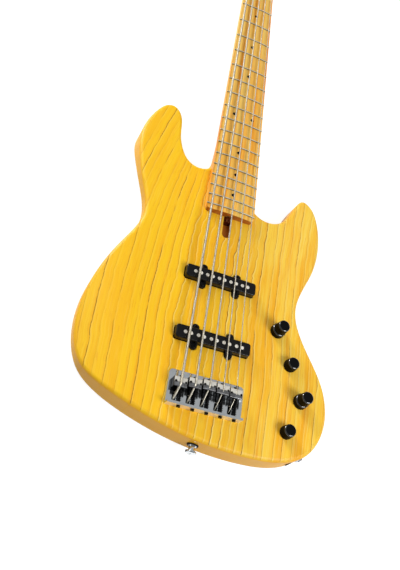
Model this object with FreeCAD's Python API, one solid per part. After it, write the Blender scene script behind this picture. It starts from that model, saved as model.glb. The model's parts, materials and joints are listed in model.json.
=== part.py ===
import FreeCAD
import Part
import math
import os
from FreeCAD import Vector

# Electric bass guitar with five strings, lying on its back, in millimetres.
# +Y runs to the headstock, +X to the thinnest string and +Z out of the front.
# The origin is on the flat back, on the centre line, under the saddle line.

# Gaps and overruns
overrun = 2.0                   # how far a cutting tool runs past what it cuts
fit_gap = 0.05                  # radial gap of a turning or sliding fit
seat_gap = 0.15                 # gap round a piece that drops into a seat
string_gap = 0.12               # gap between a string and what carries it

# Scale and strings, from the thickest string to the thinnest
scale_length = 863.6
fret_count = 20
string_steps = (-2, -1, 0, 1, 2)
saddle_pitch = 18.7
nut_pitch = 9.5
thickest_string = 3.3
string_diameter_shares = (1.0, 0.81, 0.655, 0.5, 0.345)
string_height = 15.0            # underside of the middle string over the front, at its saddle
string_arc_radius = 400.0
nut_action = 0.4                # underside of a string over the frets, at the nut
string_bend_radius = 10.0
ball_radius = 2.6
ball_length = 5.0

# Body
body_width = 351.0
body_thickness = 42.0
tail_distance = 70.0            # saddle line to the tail
horn_reach = 164.6              # neck end to the tip of the upper horn
body_edge_share = 0.01425       # rounding of the rim, of the body's width
pocket_depth = 16.0
pocket_lip = 2.6
bass_lip_share = 0.822
treble_lip_share = 0.725
outline_shares = (
    (-0.138, 0.812), (-0.162, 0.811), (-0.194, 0.819), (-0.231, 0.853), (-0.252, 0.908),
    (-0.262, 0.968), (-0.281, 0.991), (-0.305, 1.000), (-0.332, 0.996), (-0.362, 0.974),
    (-0.396, 0.928), (-0.419, 0.857), (-0.407, 0.783), (-0.376, 0.705), (-0.348, 0.639),
    (-0.345, 0.590), (-0.372, 0.538), (-0.425, 0.468), (-0.473, 0.386), (-0.500, 0.297),
    (-0.493, 0.207), (-0.450, 0.137), (-0.370, 0.092), (-0.262, 0.058), (-0.114, 0.026),
    (0.057, 0.005), (0.214, 0.000), (0.336, 0.010), (0.427, 0.041), (0.481, 0.096),
    (0.499, 0.161), (0.476, 0.241), (0.416, 0.315), (0.362, 0.382), (0.342, 0.436),
    (0.359, 0.502), (0.402, 0.578), (0.426, 0.673), (0.410, 0.765), (0.370, 0.812),
    (0.336, 0.821), (0.312, 0.804), (0.276, 0.754), (0.244, 0.721), (0.191, 0.705),
    (0.142, 0.710),
)
forearm_place_shares = (-0.308, 0.281)
forearm_turn = 9.0              # degrees that the crease leans from the long axis
forearm_radius_share = 0.356    # of the body's width
forearm_slope = 60.0            # degrees that the contour could roll off, well past the rim
forearm_lead = 0.1              # height of the contour's crown over the front
belly_place_shares = (-0.171, 0.622)
belly_radius = 300.0
belly_slope = 18.4              # degrees

# Neck, fingerboard and frets
heel_width = 74.4
nut_width = 45.3
fingerboard_overhang = 8.6      # last fret to the neck end
fingerboard_rise = 10.3         # crown over the front of the body
fingerboard_thickness = 6.5
fingerboard_radius = 300.0
neck_corner_radius = 6.0
neck_gap = 0.15
shaft_depth_nut = 14.0
shaft_depth_heel = 16.5
heel_run = 84.0                 # neck end to where the heel starts to thin
heel_blend = 34.0
heel_fullness = 5.0             # power of the rounded section: 2 is an ellipse, more is squarer
blend_fullness = 3.4
shaft_fullness = 2.4
fret_width = 2.4
fret_height = 1.2
fret_crown_radius = 0.8
tang_width = 0.6
tang_depth = 2.0
dot_diameter = 5.6
dot_depth = 2.0
dot_frets = (3, 5, 7, 9, 15, 17, 19)
octave_fret = 12
octave_dot_spread = 30.0
nut_length = 5.0
nut_rise = 1.2                  # nut's crown over the underside of the strings

# Truss rod and its spoke wheel
rod_radius = 3.0
rod_depth = 2.0                 # axis under the front of the body
rod_end_distance = 34.0         # rod's far end to the nut
wheel_radius = 5.5
wheel_length = 8.5
wheel_gap = 1.0
wheel_hole_radius = 1.2
wheel_hole_count = 4
slot_length = 34.0
slot_clearance = 0.4

# Headstock
head_drop = 3.2                 # face under the fingerboard's underside
head_thickness = 15.0
head_ramp_radius = 15.0
head_shelf = 4.0
first_post = 46.0
post_pitch = 38.0
head_bass_margin = 22.0
head_treble_margin = 26.0
head_root_margin = 12.0
head_tip_margin = 26.0
head_waist = 40.0
head_flare_radius = 22.0
head_corner_radius = 16.0

# Tuners
post_waist_radius = 4.75
post_shank_radius = 5.5
post_flange_radius = 6.8
post_flange_thickness = 1.4
post_cap_thickness = 3.0
post_slot_width = 2.0
winding_turns = 2
winding_spare = 0.6             # gap from one turn to the next
bushing_radius = 8.5
bushing_flange_radius = 10.5
bushing_flange_thickness = 2.5
bushing_length = 11.0
gear_radius = 8.0
gear_thickness = 5.0
gear_tooth_count = 20
gear_tooth_depth = 1.0
gear_tooth_width = 1.2
worm_radius = 3.4
worm_length = 18.0
worm_gap = 0.35                 # between gear and worm
key_axis_depth = 8.0            # key's axis under the back of the headstock
housing_gap = 0.6
housing_wall = 2.4
housing_bearing = 8.0
housing_tab = 8.0
housing_tab_thickness = 3.0
key_shaft_radius = 3.0
key_pivot_radius = 1.8
key_clearance = 4.0             # headstock's rim to the button
button_collar_radius = 4.6
button_length = 25.0
button_width = 26.0
button_thickness = 7.5
button_edge_radius = 2.5
button_centre_share = 0.6       # collar's start to the paddle's middle

# String retainer
retainer_distance = 48.0        # behind the nut
retainer_rise = 5.0             # underside over the headstock's face
retainer_radius = 2.5
retainer_foot_radius = 1.8
retainer_overlap = 7.0          # bar past the outer strings that it holds

# Pickups
neck_pickup_distance = 157.6    # from the saddle line
bridge_pickup_distance = 67.4
neck_pickup_length = 102.0
bridge_pickup_length = 105.0
neck_pole_pitch = 17.25
bridge_pole_pitch = 18.0
pole_gap = 7.9
pole_radius = 2.4
pole_rise = 0.3
pole_length = 17.0
pickup_width = 18.5
pickup_rise = 9.0
pickup_depth = 10.0             # cover below the front
pickup_wall = 1.6
pickup_corner_radius = 4.0
pickup_edge_radius = 1.5
ear_spread = 24.7               # centre line to an ear
ear_reach = 3.6                 # cover's side to an ear's screw
ear_radius = 5.0
ear_rise = 2.6
ear_thickness = 3.2
rout_depth = 18.0
rout_clearance = 0.8
coil_margin = 1.0
foam_near_share = 0.14          # pads' ends along a pickup, from its middle
foam_far_share = 0.42
coil_height = 12.0
pickup_screw_radius = 1.5
pickup_screw_head_radius = 3.0
pickup_screw_head_height = 1.8
pickup_screw_bite = 8.0

# Bridge
bridge_width = 102.0
bridge_front = 16.4             # saddle line to the front rim
bridge_back = 30.0
bridge_thickness = 3.0
bridge_wall_height = 11.5
bridge_wall_thickness = 3.2
bridge_corner_radius = 5.0
bridge_bend_radius = 1.0
anchor_distance = 22.0          # saddle line to the string holes
anchor_offset = 3.4             # string holes to the bass side of the saddles' middles
anchor_clearance = 0.9
anchor_slot = 7.0
screw_offset = 3.0              # intonation screws to the treble side
screw_rise = 6.6                # intonation screws over the front
saddle_width = 17.8
saddle_front = 8.0              # string's crest to the saddle's front
saddle_rear = 5.2
saddle_lift = 1.0               # over the base plate
saddle_groove = 0.9             # string's underside below the saddle's top
saddle_edge_radius = 1.8
intonation_step = 3.5
intonation_shares = (-1.0, -0.23, 0.3, 0.16, 0.03)
height_screw_radius = 1.5
height_screw_spread = 6.6
height_screw_socket_radius = 0.9
height_socket_share = 0.7       # foot of the socket along the screw
height_screw_inset = 0.4
intonation_screw_radius = 1.5
intonation_screw_lead = 7.0     # past the saddle's front
intonation_head_radius = 2.5
intonation_head_height = 2.4
intonation_slot_width = 0.7
spring_wire = 0.7
spring_gap = 0.35               # spring's bore over the screw
spring_turns = 7
bridge_screw_distance = 3.0

# Wood screws and ferrules
wood_screw_radius = 1.4
wood_screw_head_radius = 2.8
wood_screw_length = 11.0
bridge_screw_radius = 2.1
bridge_screw_head_radius = 3.9
bridge_screw_length = 26.0
neck_screw_radius = 2.3
neck_screw_head_radius = 4.4
neck_screw_bite = 14.0
screw_slot_width = 0.8
ferrule_radius = 7.0
ferrule_depth = 5.0
string_ferrule_radius = 4.6
string_ferrule_depth = 9.0
neck_screw_spread = 19.0
neck_screw_first = 12.0         # neck end to the first pair of screws
neck_screw_bass = 52.0
neck_screw_treble = 28.0

# Controls: places as shares of the body, single knobs and stacked pairs in turn
control_shares = ((0.263, 0.3616), (0.328, 0.2716), (0.382, 0.1786), (0.333, 0.0866))
control_stacked = (True, False, True, False)
knob_radius = 9.3
knob_top_radius = 8.3
knob_height = 13.2
knob_lower_radius = 10.4
knob_lower_height = 8.5
knob_upper_height = 12.8
knob_gap = 0.8                  # under each knob
knob_edge_radius = 2.0
knob_rib_count = 24
knob_rib_radius = 0.5
knob_recess_radius = 7.6
knob_recess_depth = 4.2
pot_shaft_radius = 3.0
pot_inner_shaft_radius = 2.0
pot_bushing_radius = 4.7
pot_can_radius = 12.0
pot_can_height = 9.0
pot_nut_radius = 6.6
pot_nut_height = 2.2
pot_thread_rise = 3.0
roof_thickness = 7.0
cavity_margin = 17.0            # pot's axis to the cavity's wall
cover_ledge = 7.0
cover_thickness = 2.6
battery_length = 48.5
battery_width = 26.5
battery_height = 17.5
bay_gap = 3.0
board_width = 20.0
board_length = 40.0
board_thickness = 1.6
board_standoff = 11.0           # board hung lower than the pots
board_standoff_radius = 2.0
capacitor_radius = 3.0
capacitor_height = 9.0
chip_width = 7.0
chip_length = 10.0
chip_height = 3.4

# Output jack and strap buttons: places as shares of the outline's length
jack_share = 0.632
jack_plate_length = 42.0
jack_plate_width = 19.0
jack_plate_thickness = 1.6
jack_plate_sink = 3.4           # plate's seat under the rim
jack_screw_spread = 16.0
jack_bore_radius = 3.2
jack_thread_radius = 4.75
jack_nut_radius = 7.2
jack_nut_height = 2.6
jack_thread_rise = 1.6
jack_level = 0.5                # of the body's thickness
jack_barrel_radius = 9.0
jack_barrel_length = 20.0
jack_hole_radius = 11.0
jack_hole_length = 40.0
tail_button_share = 0.528
horn_button_share = 0.094
tail_button_level = 0.5         # of the body's thickness
horn_button_level = 0.36
button_base_radius = 5.6
button_waist_radius = 4.2
button_head_radius = 7.4
button_base_height = 1.8
button_waist_height = 4.6
button_head_height = 3.4
strap_screw_radius = 2.2
strap_screw_head_radius = 3.8
strap_screw_bite = 22.0
felt_radius = 7.0
felt_thickness = 3.2
strap_seat_depth = 1.6
strap_seat_gap = 0.7

# Wiring
wire_radius = 0.7
channel_radius = 3.2

# Derived heights and places
front = body_thickness
neck_end = scale_length * 2 ** (-fret_count / 12) - fingerboard_overhang
body_length = tail_distance + neck_end + horn_reach
body_edge_radius = body_edge_share * body_width
forearm_radius = forearm_radius_share * body_width
board_top = front + fingerboard_rise
board_bottom = board_top - fingerboard_thickness
pocket_floor = front - pocket_depth
head_face = board_bottom - head_drop
head_back = head_face - head_thickness
key_axis_z = head_back - key_axis_depth
rod_axis_z = front - rod_depth
plate_top = front + bridge_thickness
screw_axis_z = front + screw_rise
string_radii = [thickest_string * share / 2 for share in string_diameter_shares]
winding_room = winding_turns * (thickest_string + winding_spare) + thickest_string + 2 * winding_spare
gear_to_worm = gear_radius + worm_radius + worm_gap
cavity_roof = front - roof_thickness
up = Vector(0, 0, 1)
ahead = Vector(0, 1, 0)


def box(x0, x1, y0, y1, z0, z1):
    return Part.makeBox(x1 - x0, y1 - y0, z1 - z0, Vector(x0, y0, z0))


def rod(base, axis, radius, length):
    return Part.makeCylinder(radius, length, base, axis)


def rounded_wire(corners, radii, z):
    # Closed outline of straight runs, with an arc of its own radius at each corner.
    places = [Vector(x, y, z) for x, y in corners]
    spans = []
    for i, here in enumerate(places):
        back = (places[i - 1] - here).normalize()
        fore = (places[(i + 1) % len(places)] - here).normalize()
        half = back.getAngle(fore) / 2
        reach = radii[i] / math.tan(half)
        middle = (back + fore).normalize() * (radii[i] / math.sin(half) - radii[i])
        spans.append((here + back * reach, here + middle, here + fore * reach))
    edges = []
    for i, (start, middle, end) in enumerate(spans):
        if radii[i] > 0:
            edges.append(Part.Arc(start, middle, end).toShape())
        edges.append(Part.LineSegment(end, spans[(i + 1) % len(spans)][0]).toShape())
    return Part.Wire(edges)


def rounded_prism(corners, radii, z0, z1):
    return Part.Face(rounded_wire(corners, radii, z0)).extrude(up * (z1 - z0))


def rounded_box(x0, x1, y0, y1, z0, z1, radius):
    return rounded_prism(((x0, y0), (x1, y0), (x1, y1), (x0, y1)), (radius,) * 4, z0, z1)


def capsule(start, end, radius, z0, z1):
    # Two round ends joined by straight sides, standing from z0 to z1.
    along = Vector(end[0] - start[0], end[1] - start[1], 0).normalize()
    side = Vector(-along.y, along.x, 0) * radius
    a = Vector(start[0], start[1], z0)
    b = Vector(end[0], end[1], z0)
    edges = [
        Part.LineSegment(a + side, b + side).toShape(),
        Part.Arc(b + side, b + along * radius, b - side).toShape(),
        Part.LineSegment(b - side, a - side).toShape(),
        Part.Arc(a - side, a - along * radius, a + side).toShape(),
    ]
    return Part.Face(Part.Wire(edges)).extrude(up * (z1 - z0))


def fuse(shapes):
    return shapes[0].multiFuse(shapes[1:]).removeSplitter()


def turned(profile, base, axis):
    # Solid of revolution from (radius, height) corners, standing on base along axis.
    places = [Vector(radius, 0, height) for radius, height in profile]
    solid = Part.Face(Part.makePolygon(places + places[:1])).revolve(Vector(0, 0, 0), up, 360)
    solid.Placement = FreeCAD.Placement(base, FreeCAD.Rotation(up, axis))
    return solid


def bent_path(points, radii):
    # Straight runs through the points, with a tangent arc at each point between the ends.
    edges = []
    last = points[0]
    for i in range(1, len(points) - 1):
        back = (points[i - 1] - points[i]).normalize()
        fore = (points[i + 1] - points[i]).normalize()
        half = back.getAngle(fore) / 2
        reach = radii[i - 1] / math.tan(half)
        middle = (back + fore).normalize() * (radii[i - 1] / math.sin(half) - radii[i - 1])
        edges.append(Part.LineSegment(last, points[i] + back * reach).toShape())
        last = points[i] + fore * reach
        edges.append(Part.Arc(points[i] + back * reach, points[i] + middle, last).toShape())
    edges.append(Part.LineSegment(last, points[-1]).toShape())
    return Part.Wire(edges)


def tube(path, radius):
    start = path.OrderedEdges[0]
    at = start.valueAt(start.FirstParameter)
    along = start.tangentAt(start.FirstParameter)
    ring = Part.Wire(Part.Circle(at, along, radius).toShape())
    return path.makePipeShell([ring], True, False)


def arc_from(start, along, end):
    # Arc that leaves start in a known direction and reaches end.
    chord = end - start
    lean = along.getAngle(chord)
    side = along - chord * (along.dot(chord) / chord.dot(chord))
    rise = side.normalize() * (chord.Length / 2 * math.tan(lean / 2))
    return Part.Arc(start, start + chord / 2 + rise, end)


def biarc(start, start_along, end, end_along):
    # Two arcs that meet smoothly and keep the directions at both ends.
    chord = end - start
    total = start_along + end_along
    spread = 2 * (1 - start_along.dot(end_along))
    reach = (math.sqrt(chord.dot(total) ** 2 + spread * chord.dot(chord)) - chord.dot(total)) / spread
    joint = (start + end) / 2 + (start_along - end_along) * (reach / 2)
    first = arc_from(start, start_along, joint).toShape()
    second = arc_from(end, end_along * -1, joint)
    middle = second.value((second.FirstParameter + second.LastParameter) / 2)
    return [first, Part.Arc(joint, middle, end).toShape()]


def least_gap(points, per_turn, wire):
    # Least clear distance between stretches of one wound wire that are half a turn or more apart.
    least = math.inf
    for i, point in enumerate(points):
        for other in points[i + per_turn // 2:]:
            least = min(least, point.distanceToPoint(other))
    return least - wire


def coil(base, axis, toward, radius, pitch, turns, wire):
    # One unbroken winding round an axis, from quarter turns, with a straight run at each end.
    cross = axis.cross(toward)
    per_turn = 4
    fine = 12

    def place(angle):
        return base + toward * (radius * math.cos(angle)) + cross * (radius * math.sin(angle)) \
            + axis * (pitch * angle / (2 * math.pi))

    def heading(angle):
        flat = cross * (radius * math.cos(angle)) - toward * (radius * math.sin(angle))
        return (flat + axis * (pitch / (2 * math.pi))).normalize()

    angles = [2 * math.pi * i / per_turn for i in range(turns * per_turn + 1)]
    edges = [Part.LineSegment(place(0) - heading(0) * wire, place(0)).toShape()]
    for near, far in zip(angles, angles[1:]):
        edges += biarc(place(near), heading(near), place(far), heading(far))
    last = angles[-1]
    edges.append(Part.LineSegment(place(last), place(last) + heading(last) * wire).toShape())
    gap = least_gap([place(last * i / (turns * fine)) for i in range(turns * fine + 1)], fine, wire)
    path = Part.Wire(edges)
    winding = tube(path, wire / 2)
    full = winding.Volume / (path.Length * math.pi * wire ** 2 / 4)
    print("winding of", turns, "turns: least gap to itself", round(gap, 2),
          "volume over section times length", round(full, 4))
    return winding


def countersunk(tip_axis, head_at, radius, head_radius, length, slot):
    # Wood screw whose flat head lies at head_at and whose point follows tip_axis.
    cone = head_radius - radius
    profile = ((0, 0), (head_radius, 0), (radius, cone), (radius, length - radius), (0, length))
    screw = turned(profile, head_at, tip_axis)
    side = tip_axis.cross(up)
    if side.Length < fit_gap:
        side = Vector(1, 0, 0)
    side.normalize()
    groove = Part.makeBox(2 * head_radius, slot, cone, Vector(-head_radius, -slot / 2, -cone / 2))
    turn = FreeCAD.Rotation(tip_axis.cross(side), side, tip_axis, "ZXY")
    groove.Placement = FreeCAD.Placement(head_at, turn)
    return screw.cut(groove)


def countersink(tip_axis, head_at, radius, head_radius, length):
    # Hole that such a screw fills.
    cone = head_radius - radius
    profile = ((0, 0), (head_radius, 0), (radius, cone), (radius, length - radius), (0, length))
    return turned(profile, head_at, tip_axis)


def body_place(shares):
    return shares[0] * body_width, shares[1] * body_length - tail_distance


def neck_half(y):
    return nut_width / 2 + (heel_width - nut_width) / 2 * (scale_length - y) / (scale_length - neck_end)


def fret_y(number):
    return scale_length * 2 ** (-number / 12)


def string_x(i, y):
    return string_steps[i] * (saddle_pitch + (nut_pitch - saddle_pitch) * y / scale_length)


def saddle_y(i):
    return intonation_step * intonation_shares[i]


def crest(i):
    # Axis of a string over its saddle.
    x = string_x(i, saddle_y(i))
    return Vector(x, saddle_y(i), front + string_height - x * x / (2 * string_arc_radius) + string_radii[i])


def nut_crest(i):
    # Axis of a string over the front edge of the nut.
    x = string_x(i, scale_length)
    under = board_top + fret_height + nut_action - x * x / (2 * fingerboard_radius)
    return Vector(x, scale_length, under + string_radii[i])


def anchor(i):
    # Foot of a string's hole, on the back.
    return Vector(string_x(i, 0) - anchor_offset, -anchor_distance, 0)


def winding_radius(i):
    return post_waist_radius + string_gap + string_radii[i]


def post_place(i):
    y = scale_length + first_post + i * post_pitch
    return Vector(string_x(i, y) - winding_radius(i), y, 0)


def winding_foot():
    return head_face + bushing_flange_thickness + post_flange_thickness + winding_spare


def outline_edge():
    lips = [tail_y(bass_lip_share), tail_y(treble_lip_share)]
    widths = [neck_half(y) + neck_gap + pocket_lip for y in lips]
    points = [Vector(-widths[0], lips[0], 0)]
    points += [Vector(*body_place(shares), 0) for shares in outline_shares]
    points.append(Vector(widths[1], lips[1], 0))
    curve = Part.BSplineCurve()
    curve.interpolate(points)
    return curve.toShape()


def tail_y(share):
    return share * body_length - tail_distance


def rim_place(share, level):
    # Point on the outline and the direction out of the body there, at a share of the thickness.
    edge = outline_edge()
    at = edge.getParameterByLength(share * edge.Length)
    along = edge.tangentAt(at)
    return edge.valueAt(at) + up * (level * body_thickness), Vector(along.y, -along.x, 0)


def forearm_tool():
    # Everything over a surface that rolls off the front towards the bass-side rim.
    slope = math.radians(forearm_slope)
    centre = Vector(0, 0, front + forearm_lead - forearm_radius)

    def on_arc(angle):
        return centre + Vector(-forearm_radius * math.sin(angle), 0, forearm_radius * math.cos(angle))

    crown = on_arc(0)
    rim = on_arc(slope)
    far = rim - Vector(math.cos(slope), 0, math.sin(slope)) * (body_width / 2)
    above = front + forearm_radius
    edges = [
        Part.Arc(crown, on_arc(slope / 2), rim).toShape(),
        Part.LineSegment(rim, far).toShape(),
        Part.LineSegment(far, Vector(far.x, 0, above)).toShape(),
        Part.LineSegment(Vector(far.x, 0, above), Vector(0, 0, above)).toShape(),
        Part.LineSegment(Vector(0, 0, above), crown).toShape(),
    ]
    tool = Part.Face(Part.Wire(edges)).extrude(ahead * (2 * body_length))
    tool.translate(ahead * -body_length)
    x, y = body_place(forearm_place_shares)
    return placed(tool, FreeCAD.Placement(Vector(x, y, 0), FreeCAD.Rotation(up, forearm_turn)))


def belly_tool():
    # Wide drum that scoops the back at the waist, deeper towards the rim.
    slope = math.radians(belly_slope)
    along = Vector(-math.cos(slope), 0, math.sin(slope))
    square = Vector(math.sin(slope), 0, math.cos(slope))
    x, y = body_place(belly_place_shares)
    base = Vector(x, y, 0) - square * belly_radius - along * body_width
    return rod(base, along, belly_radius, 2 * body_width)


def body_blank():
    edge = outline_edge()
    close = Part.LineSegment(edge.valueAt(edge.LastParameter), edge.valueAt(edge.FirstParameter)).toShape()
    blank = Part.Face(Part.Wire([edge, close])).extrude(up * body_thickness)
    blank = blank.cut(forearm_tool()).cut(belly_tool())
    rim = []
    for face in blank.Faces:
        if "Extrusion" in face.Surface.TypeId or "BSpline" in face.Surface.TypeId:
            for side in face.Edges:
                middle = (side.FirstParameter + side.LastParameter) / 2
                if abs(side.tangentAt(middle).z) < math.cos(math.radians(forearm_slope)):
                    rim.append(side)
    return blank.makeFillet(body_edge_radius, rim)


def control_place(i):
    return body_place(control_shares[i])


def bay(first, second, width, length, extra, z0, z1):
    # Room beside two neighbouring controls for a piece of the given width and length.
    middle_x = (control_place(first)[0] + control_place(second)[0]) / 2
    middle_y = (control_place(first)[1] + control_place(second)[1]) / 2
    centre_x = middle_x - cavity_margin - bay_gap - width / 2
    reach = bay_gap + extra
    room = rounded_box(centre_x - width / 2 - reach, middle_x, middle_y - length / 2 - reach,
                       middle_y + length / 2 + reach, z0, z1, bay_gap)
    return room, centre_x, middle_y


def cavity(extra, z0, z1):
    # Control cavity seen from the back, grown by extra on every side.
    battery_room, *battery_at = bay(1, 3, battery_width, battery_length, extra, z0, z1)
    board_room, *board_at = bay(0, 1, board_width, board_length, extra, z0, z1)
    battery_side = (battery_at[0] + battery_width / 2, battery_at[1])
    board_side = (board_at[0] + board_width / 2, board_at[1])
    rooms = [battery_room, board_room, capsule(battery_at, board_at, 2 * bay_gap + extra, z0, z1),
             capsule(battery_side, board_side, battery_width / 2 + extra, z0, z1)]
    for i in range(len(control_shares) - 1):
        rooms.append(capsule(control_place(i), control_place(i + 1), cavity_margin + extra, z0, z1))
    return fuse(rooms)


def cover_screw_places():
    past = cavity_margin + cover_ledge / 2
    beside = bay_gap + cover_ledge / 2
    first, outer, last = control_place(0), control_place(2), control_place(3)
    battery_x, battery_y = bay(1, 3, battery_width, battery_length, 0, 0, front)[1:]
    board_x, board_y = bay(0, 1, board_width, board_length, 0, 0, front)[1:]
    places = ((first[0], first[1] + past), (outer[0] + past, outer[1]), (last[0], last[1] - past),
              (battery_x - battery_width / 2 - beside, battery_y),
              (board_x - board_width / 2 - beside, board_y))
    return [Vector(x, y, 0) for x, y in places]


def neck_plan(extra, z0, z1, far_y):
    # Plan of the neck from its rounded end, grown by extra at the end and the sides.
    near = neck_half(neck_end) + extra
    far = neck_half(far_y) + extra
    corners = ((-near, neck_end - extra), (near, neck_end - extra), (far, far_y), (-far, far_y))
    return rounded_prism(corners, (neck_corner_radius, neck_corner_radius, 0, 0), z0, z1)


def pickup_plan(distance, length, extra, z0, z1):
    half = pickup_width / 2 + extra
    return rounded_box(-length / 2 - extra, length / 2 + extra, distance - half, distance + half, z0, z1,
                       pickup_corner_radius)


def ear_places(distance):
    reach = pickup_width / 2 + ear_reach
    return [(x, distance + side * reach) for x in (-ear_spread, ear_spread) for side in (-1, 1)]


def ears(distance, extra, z0, z1):
    # Lobes on the long sides, each reaching back under the cover's side.
    lobes = []
    for x, y in ear_places(distance):
        inner = distance + (y - distance) * pickup_width / 2 / abs(y - distance)
        lobes.append(capsule((x, inner), (x, y), ear_radius + extra, z0, z1))
    return lobes


def string_slot(i, z0, z1):
    # Long hole that lets a string bend from its ferrule up to its saddle.
    foot = anchor(i)
    lean = (crest(i) - foot).normalize()
    end = (foot.x + lean.x * anchor_slot, foot.y + anchor_slot)
    return capsule((foot.x, foot.y), end, thickest_string / 2 + anchor_clearance, z0, z1)


def string_run(i):
    # Route of a string from its ball end to its winding.
    foot = anchor(i) + up * (seat_gap + ball_length)
    points = [foot, anchor(i) + up * (front + bridge_thickness / 2), crest(i), nut_crest(i)]
    radii = [string_bend_radius, string_bend_radius, 2 * string_bend_radius]
    if string_steps[i] >= 0:
        y = scale_length + retainer_distance
        under = head_face + retainer_rise - string_radii[i] - 2 * string_gap
        points.append(Vector(string_x(i, y), y, under))
        radii.append(2 * string_bend_radius)
    wire = 2 * string_radii[i]
    lift = (wire + winding_spare) / (2 * math.pi * winding_radius(i))
    start = post_place(i) + Vector(winding_radius(i), 0, winding_foot() + string_radii[i])
    last_run = Vector(0, 1, lift).normalize()
    points.append(start - last_run * (wire + string_bend_radius / 2))
    radii.append(2 * string_bend_radius)
    points.append(start - last_run * (wire + string_gap))
    return points, radii


def rim_frame(share, level, depth):
    # Seat under the rim: X along the rim, Y up and Z out of the body.
    place, out = rim_place(share, level)
    along = Vector(-out.y, out.x, 0)
    return FreeCAD.Placement(place - out * depth, FreeCAD.Rotation(along, up, out, "ZXY"))


def placed(shape, frame):
    shape.Placement = frame.multiply(shape.Placement)
    return shape


def jack_screw_places():
    frame = rim_frame(jack_share, jack_level, jack_plate_sink - jack_plate_thickness)
    return [frame.multVec(Vector(side * jack_screw_spread, 0, 0)) for side in (-1, 1)]


def tuner_frame(i):
    # Frame of a tuner: X out of the bass-side rim, Z up, origin on the post's axis.
    lean = post_place(len(string_steps) - 1) - post_place(0)
    out = Vector(-lean.y, lean.x, 0).normalize()
    return FreeCAD.Placement(post_place(i), FreeCAD.Rotation(out, up.cross(out), up, "ZXY"))


def tab_screw_place(i):
    x = -worm_length / 2 - housing_gap - housing_wall - housing_tab / 2
    return tuner_frame(i).multVec(Vector(x, 0, head_back - housing_tab_thickness))


def neck_screw_places():
    rows = ((-1, neck_screw_first), (1, neck_screw_first), (-1, neck_screw_bass), (1, neck_screw_treble))
    return [Vector(side * neck_screw_spread, neck_end + reach, 0) for side, reach in rows]


def bridge_screw_places():
    return [Vector(string_x(i, 0), bridge_screw_distance, plate_top) for i in range(len(string_steps))]


def wood_screw_sites():
    # Small screws: where each head lies and which way its point goes.
    sites = [(place, up) for place in cover_screw_places()]
    out = rim_place(jack_share, jack_level)[1]
    sites += [(place, out * -1) for place in jack_screw_places()]
    sites += [(tab_screw_place(i), up) for i in range(len(string_steps))]
    return sites


def wood_screws(tool):
    return [tool(axis, place, wood_screw_radius, wood_screw_head_radius, wood_screw_length)
            for place, axis in wood_screw_sites()]


def bridge_screws(tool):
    return [tool(up * -1, place, bridge_screw_radius, bridge_screw_head_radius, bridge_screw_length)
            for place in bridge_screw_places()]


def neck_screws(tool):
    length = pocket_floor + neck_screw_bite
    return [tool(up, place, neck_screw_radius, neck_screw_head_radius, length)
            for place in neck_screw_places()]


def strap_places():
    return ((tail_button_share, tail_button_level), (horn_button_share, horn_button_level))


def strap_screws(tool):
    stack = felt_thickness - strap_seat_depth
    stack += button_base_height + button_waist_height + button_head_height
    screws = []
    for share, level in strap_places():
        place, out = rim_place(share, level)
        length = stack + strap_screw_bite
        screws.append(tool(out * -1, place + out * stack, strap_screw_radius, strap_screw_head_radius,
                           length))
    return screws


def pickups():
    return ((neck_pickup_distance, neck_pickup_length, neck_pole_pitch),
            (bridge_pickup_distance, bridge_pickup_length, bridge_pole_pitch))


def pickup_screws(tool_gap):
    # Screws that hang a pickup by its ears, or the holes that they need.
    foot = front - rout_depth - pickup_screw_bite
    head = front + ear_rise
    shapes = []
    for distance, length, pitch in pickups():
        for x, y in ear_places(distance):
            shapes.append(rod(Vector(x, y, foot), up, pickup_screw_radius + tool_gap, head - foot))
    return shapes


def make_body():
    solid = body_blank()
    high = front + overrun
    tools = [neck_plan(neck_gap, pocket_floor, high, tail_y(1))]
    wheel_room = wheel_radius + slot_clearance
    slot_end = (0, neck_end - slot_length + wheel_room)
    tools.append(capsule((0, neck_end), slot_end, wheel_room, rod_axis_z - wheel_room, high))
    for distance, length, pitch in pickups():
        tools.append(pickup_plan(distance, length, rout_clearance, front - rout_depth, high))
        tools += ears(distance, rout_clearance, front - rout_depth, high)
    tools += pickup_screws(0)
    tools.append(cavity(0, cover_thickness, cavity_roof))
    tools.append(cavity(cover_ledge, -overrun, cover_thickness))
    for i in range(len(control_shares)):
        base = Vector(*control_place(i), cavity_roof - overrun)
        tools.append(rod(base, up, pot_bushing_radius + seat_gap, roof_thickness + 2 * overrun))
    for i in range(len(string_steps)):
        base = anchor(i) - up * overrun
        tools.append(rod(base, up, string_ferrule_radius, string_ferrule_depth + overrun))
        tools.append(rod(anchor(i), up, thickest_string / 2 + anchor_clearance, front))
        tools.append(string_slot(i, front - string_bend_radius, high))
    for place in neck_screw_places():
        tools.append(rod(place - up * overrun, up, ferrule_radius, ferrule_depth + overrun))
    tools += wood_screws(countersink) + bridge_screws(countersink) + neck_screws(countersink)
    tools += channels()
    seat = jack_plate(seat_gap, jack_plate_sink + body_edge_radius)
    tools.append(placed(seat, rim_frame(jack_share, jack_level, jack_plate_sink)))
    hole = rod(Vector(0, 0, -jack_hole_length), up, jack_hole_radius, jack_hole_length)
    tools.append(placed(hole, rim_frame(jack_share, jack_level, jack_plate_sink)))
    solid = solid.cut(tools)
    for (share, level), screw in zip(strap_places(), strap_screws(countersink)):
        seat = rod(Vector(0, 0, 0), up, felt_radius + strap_seat_gap, strap_seat_depth + body_edge_radius)
        solid = solid.cut(placed(seat, rim_frame(share, level, strap_seat_depth)).fuse(screw))
    return solid


def channel_height():
    return front - rout_depth + channel_radius


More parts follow.
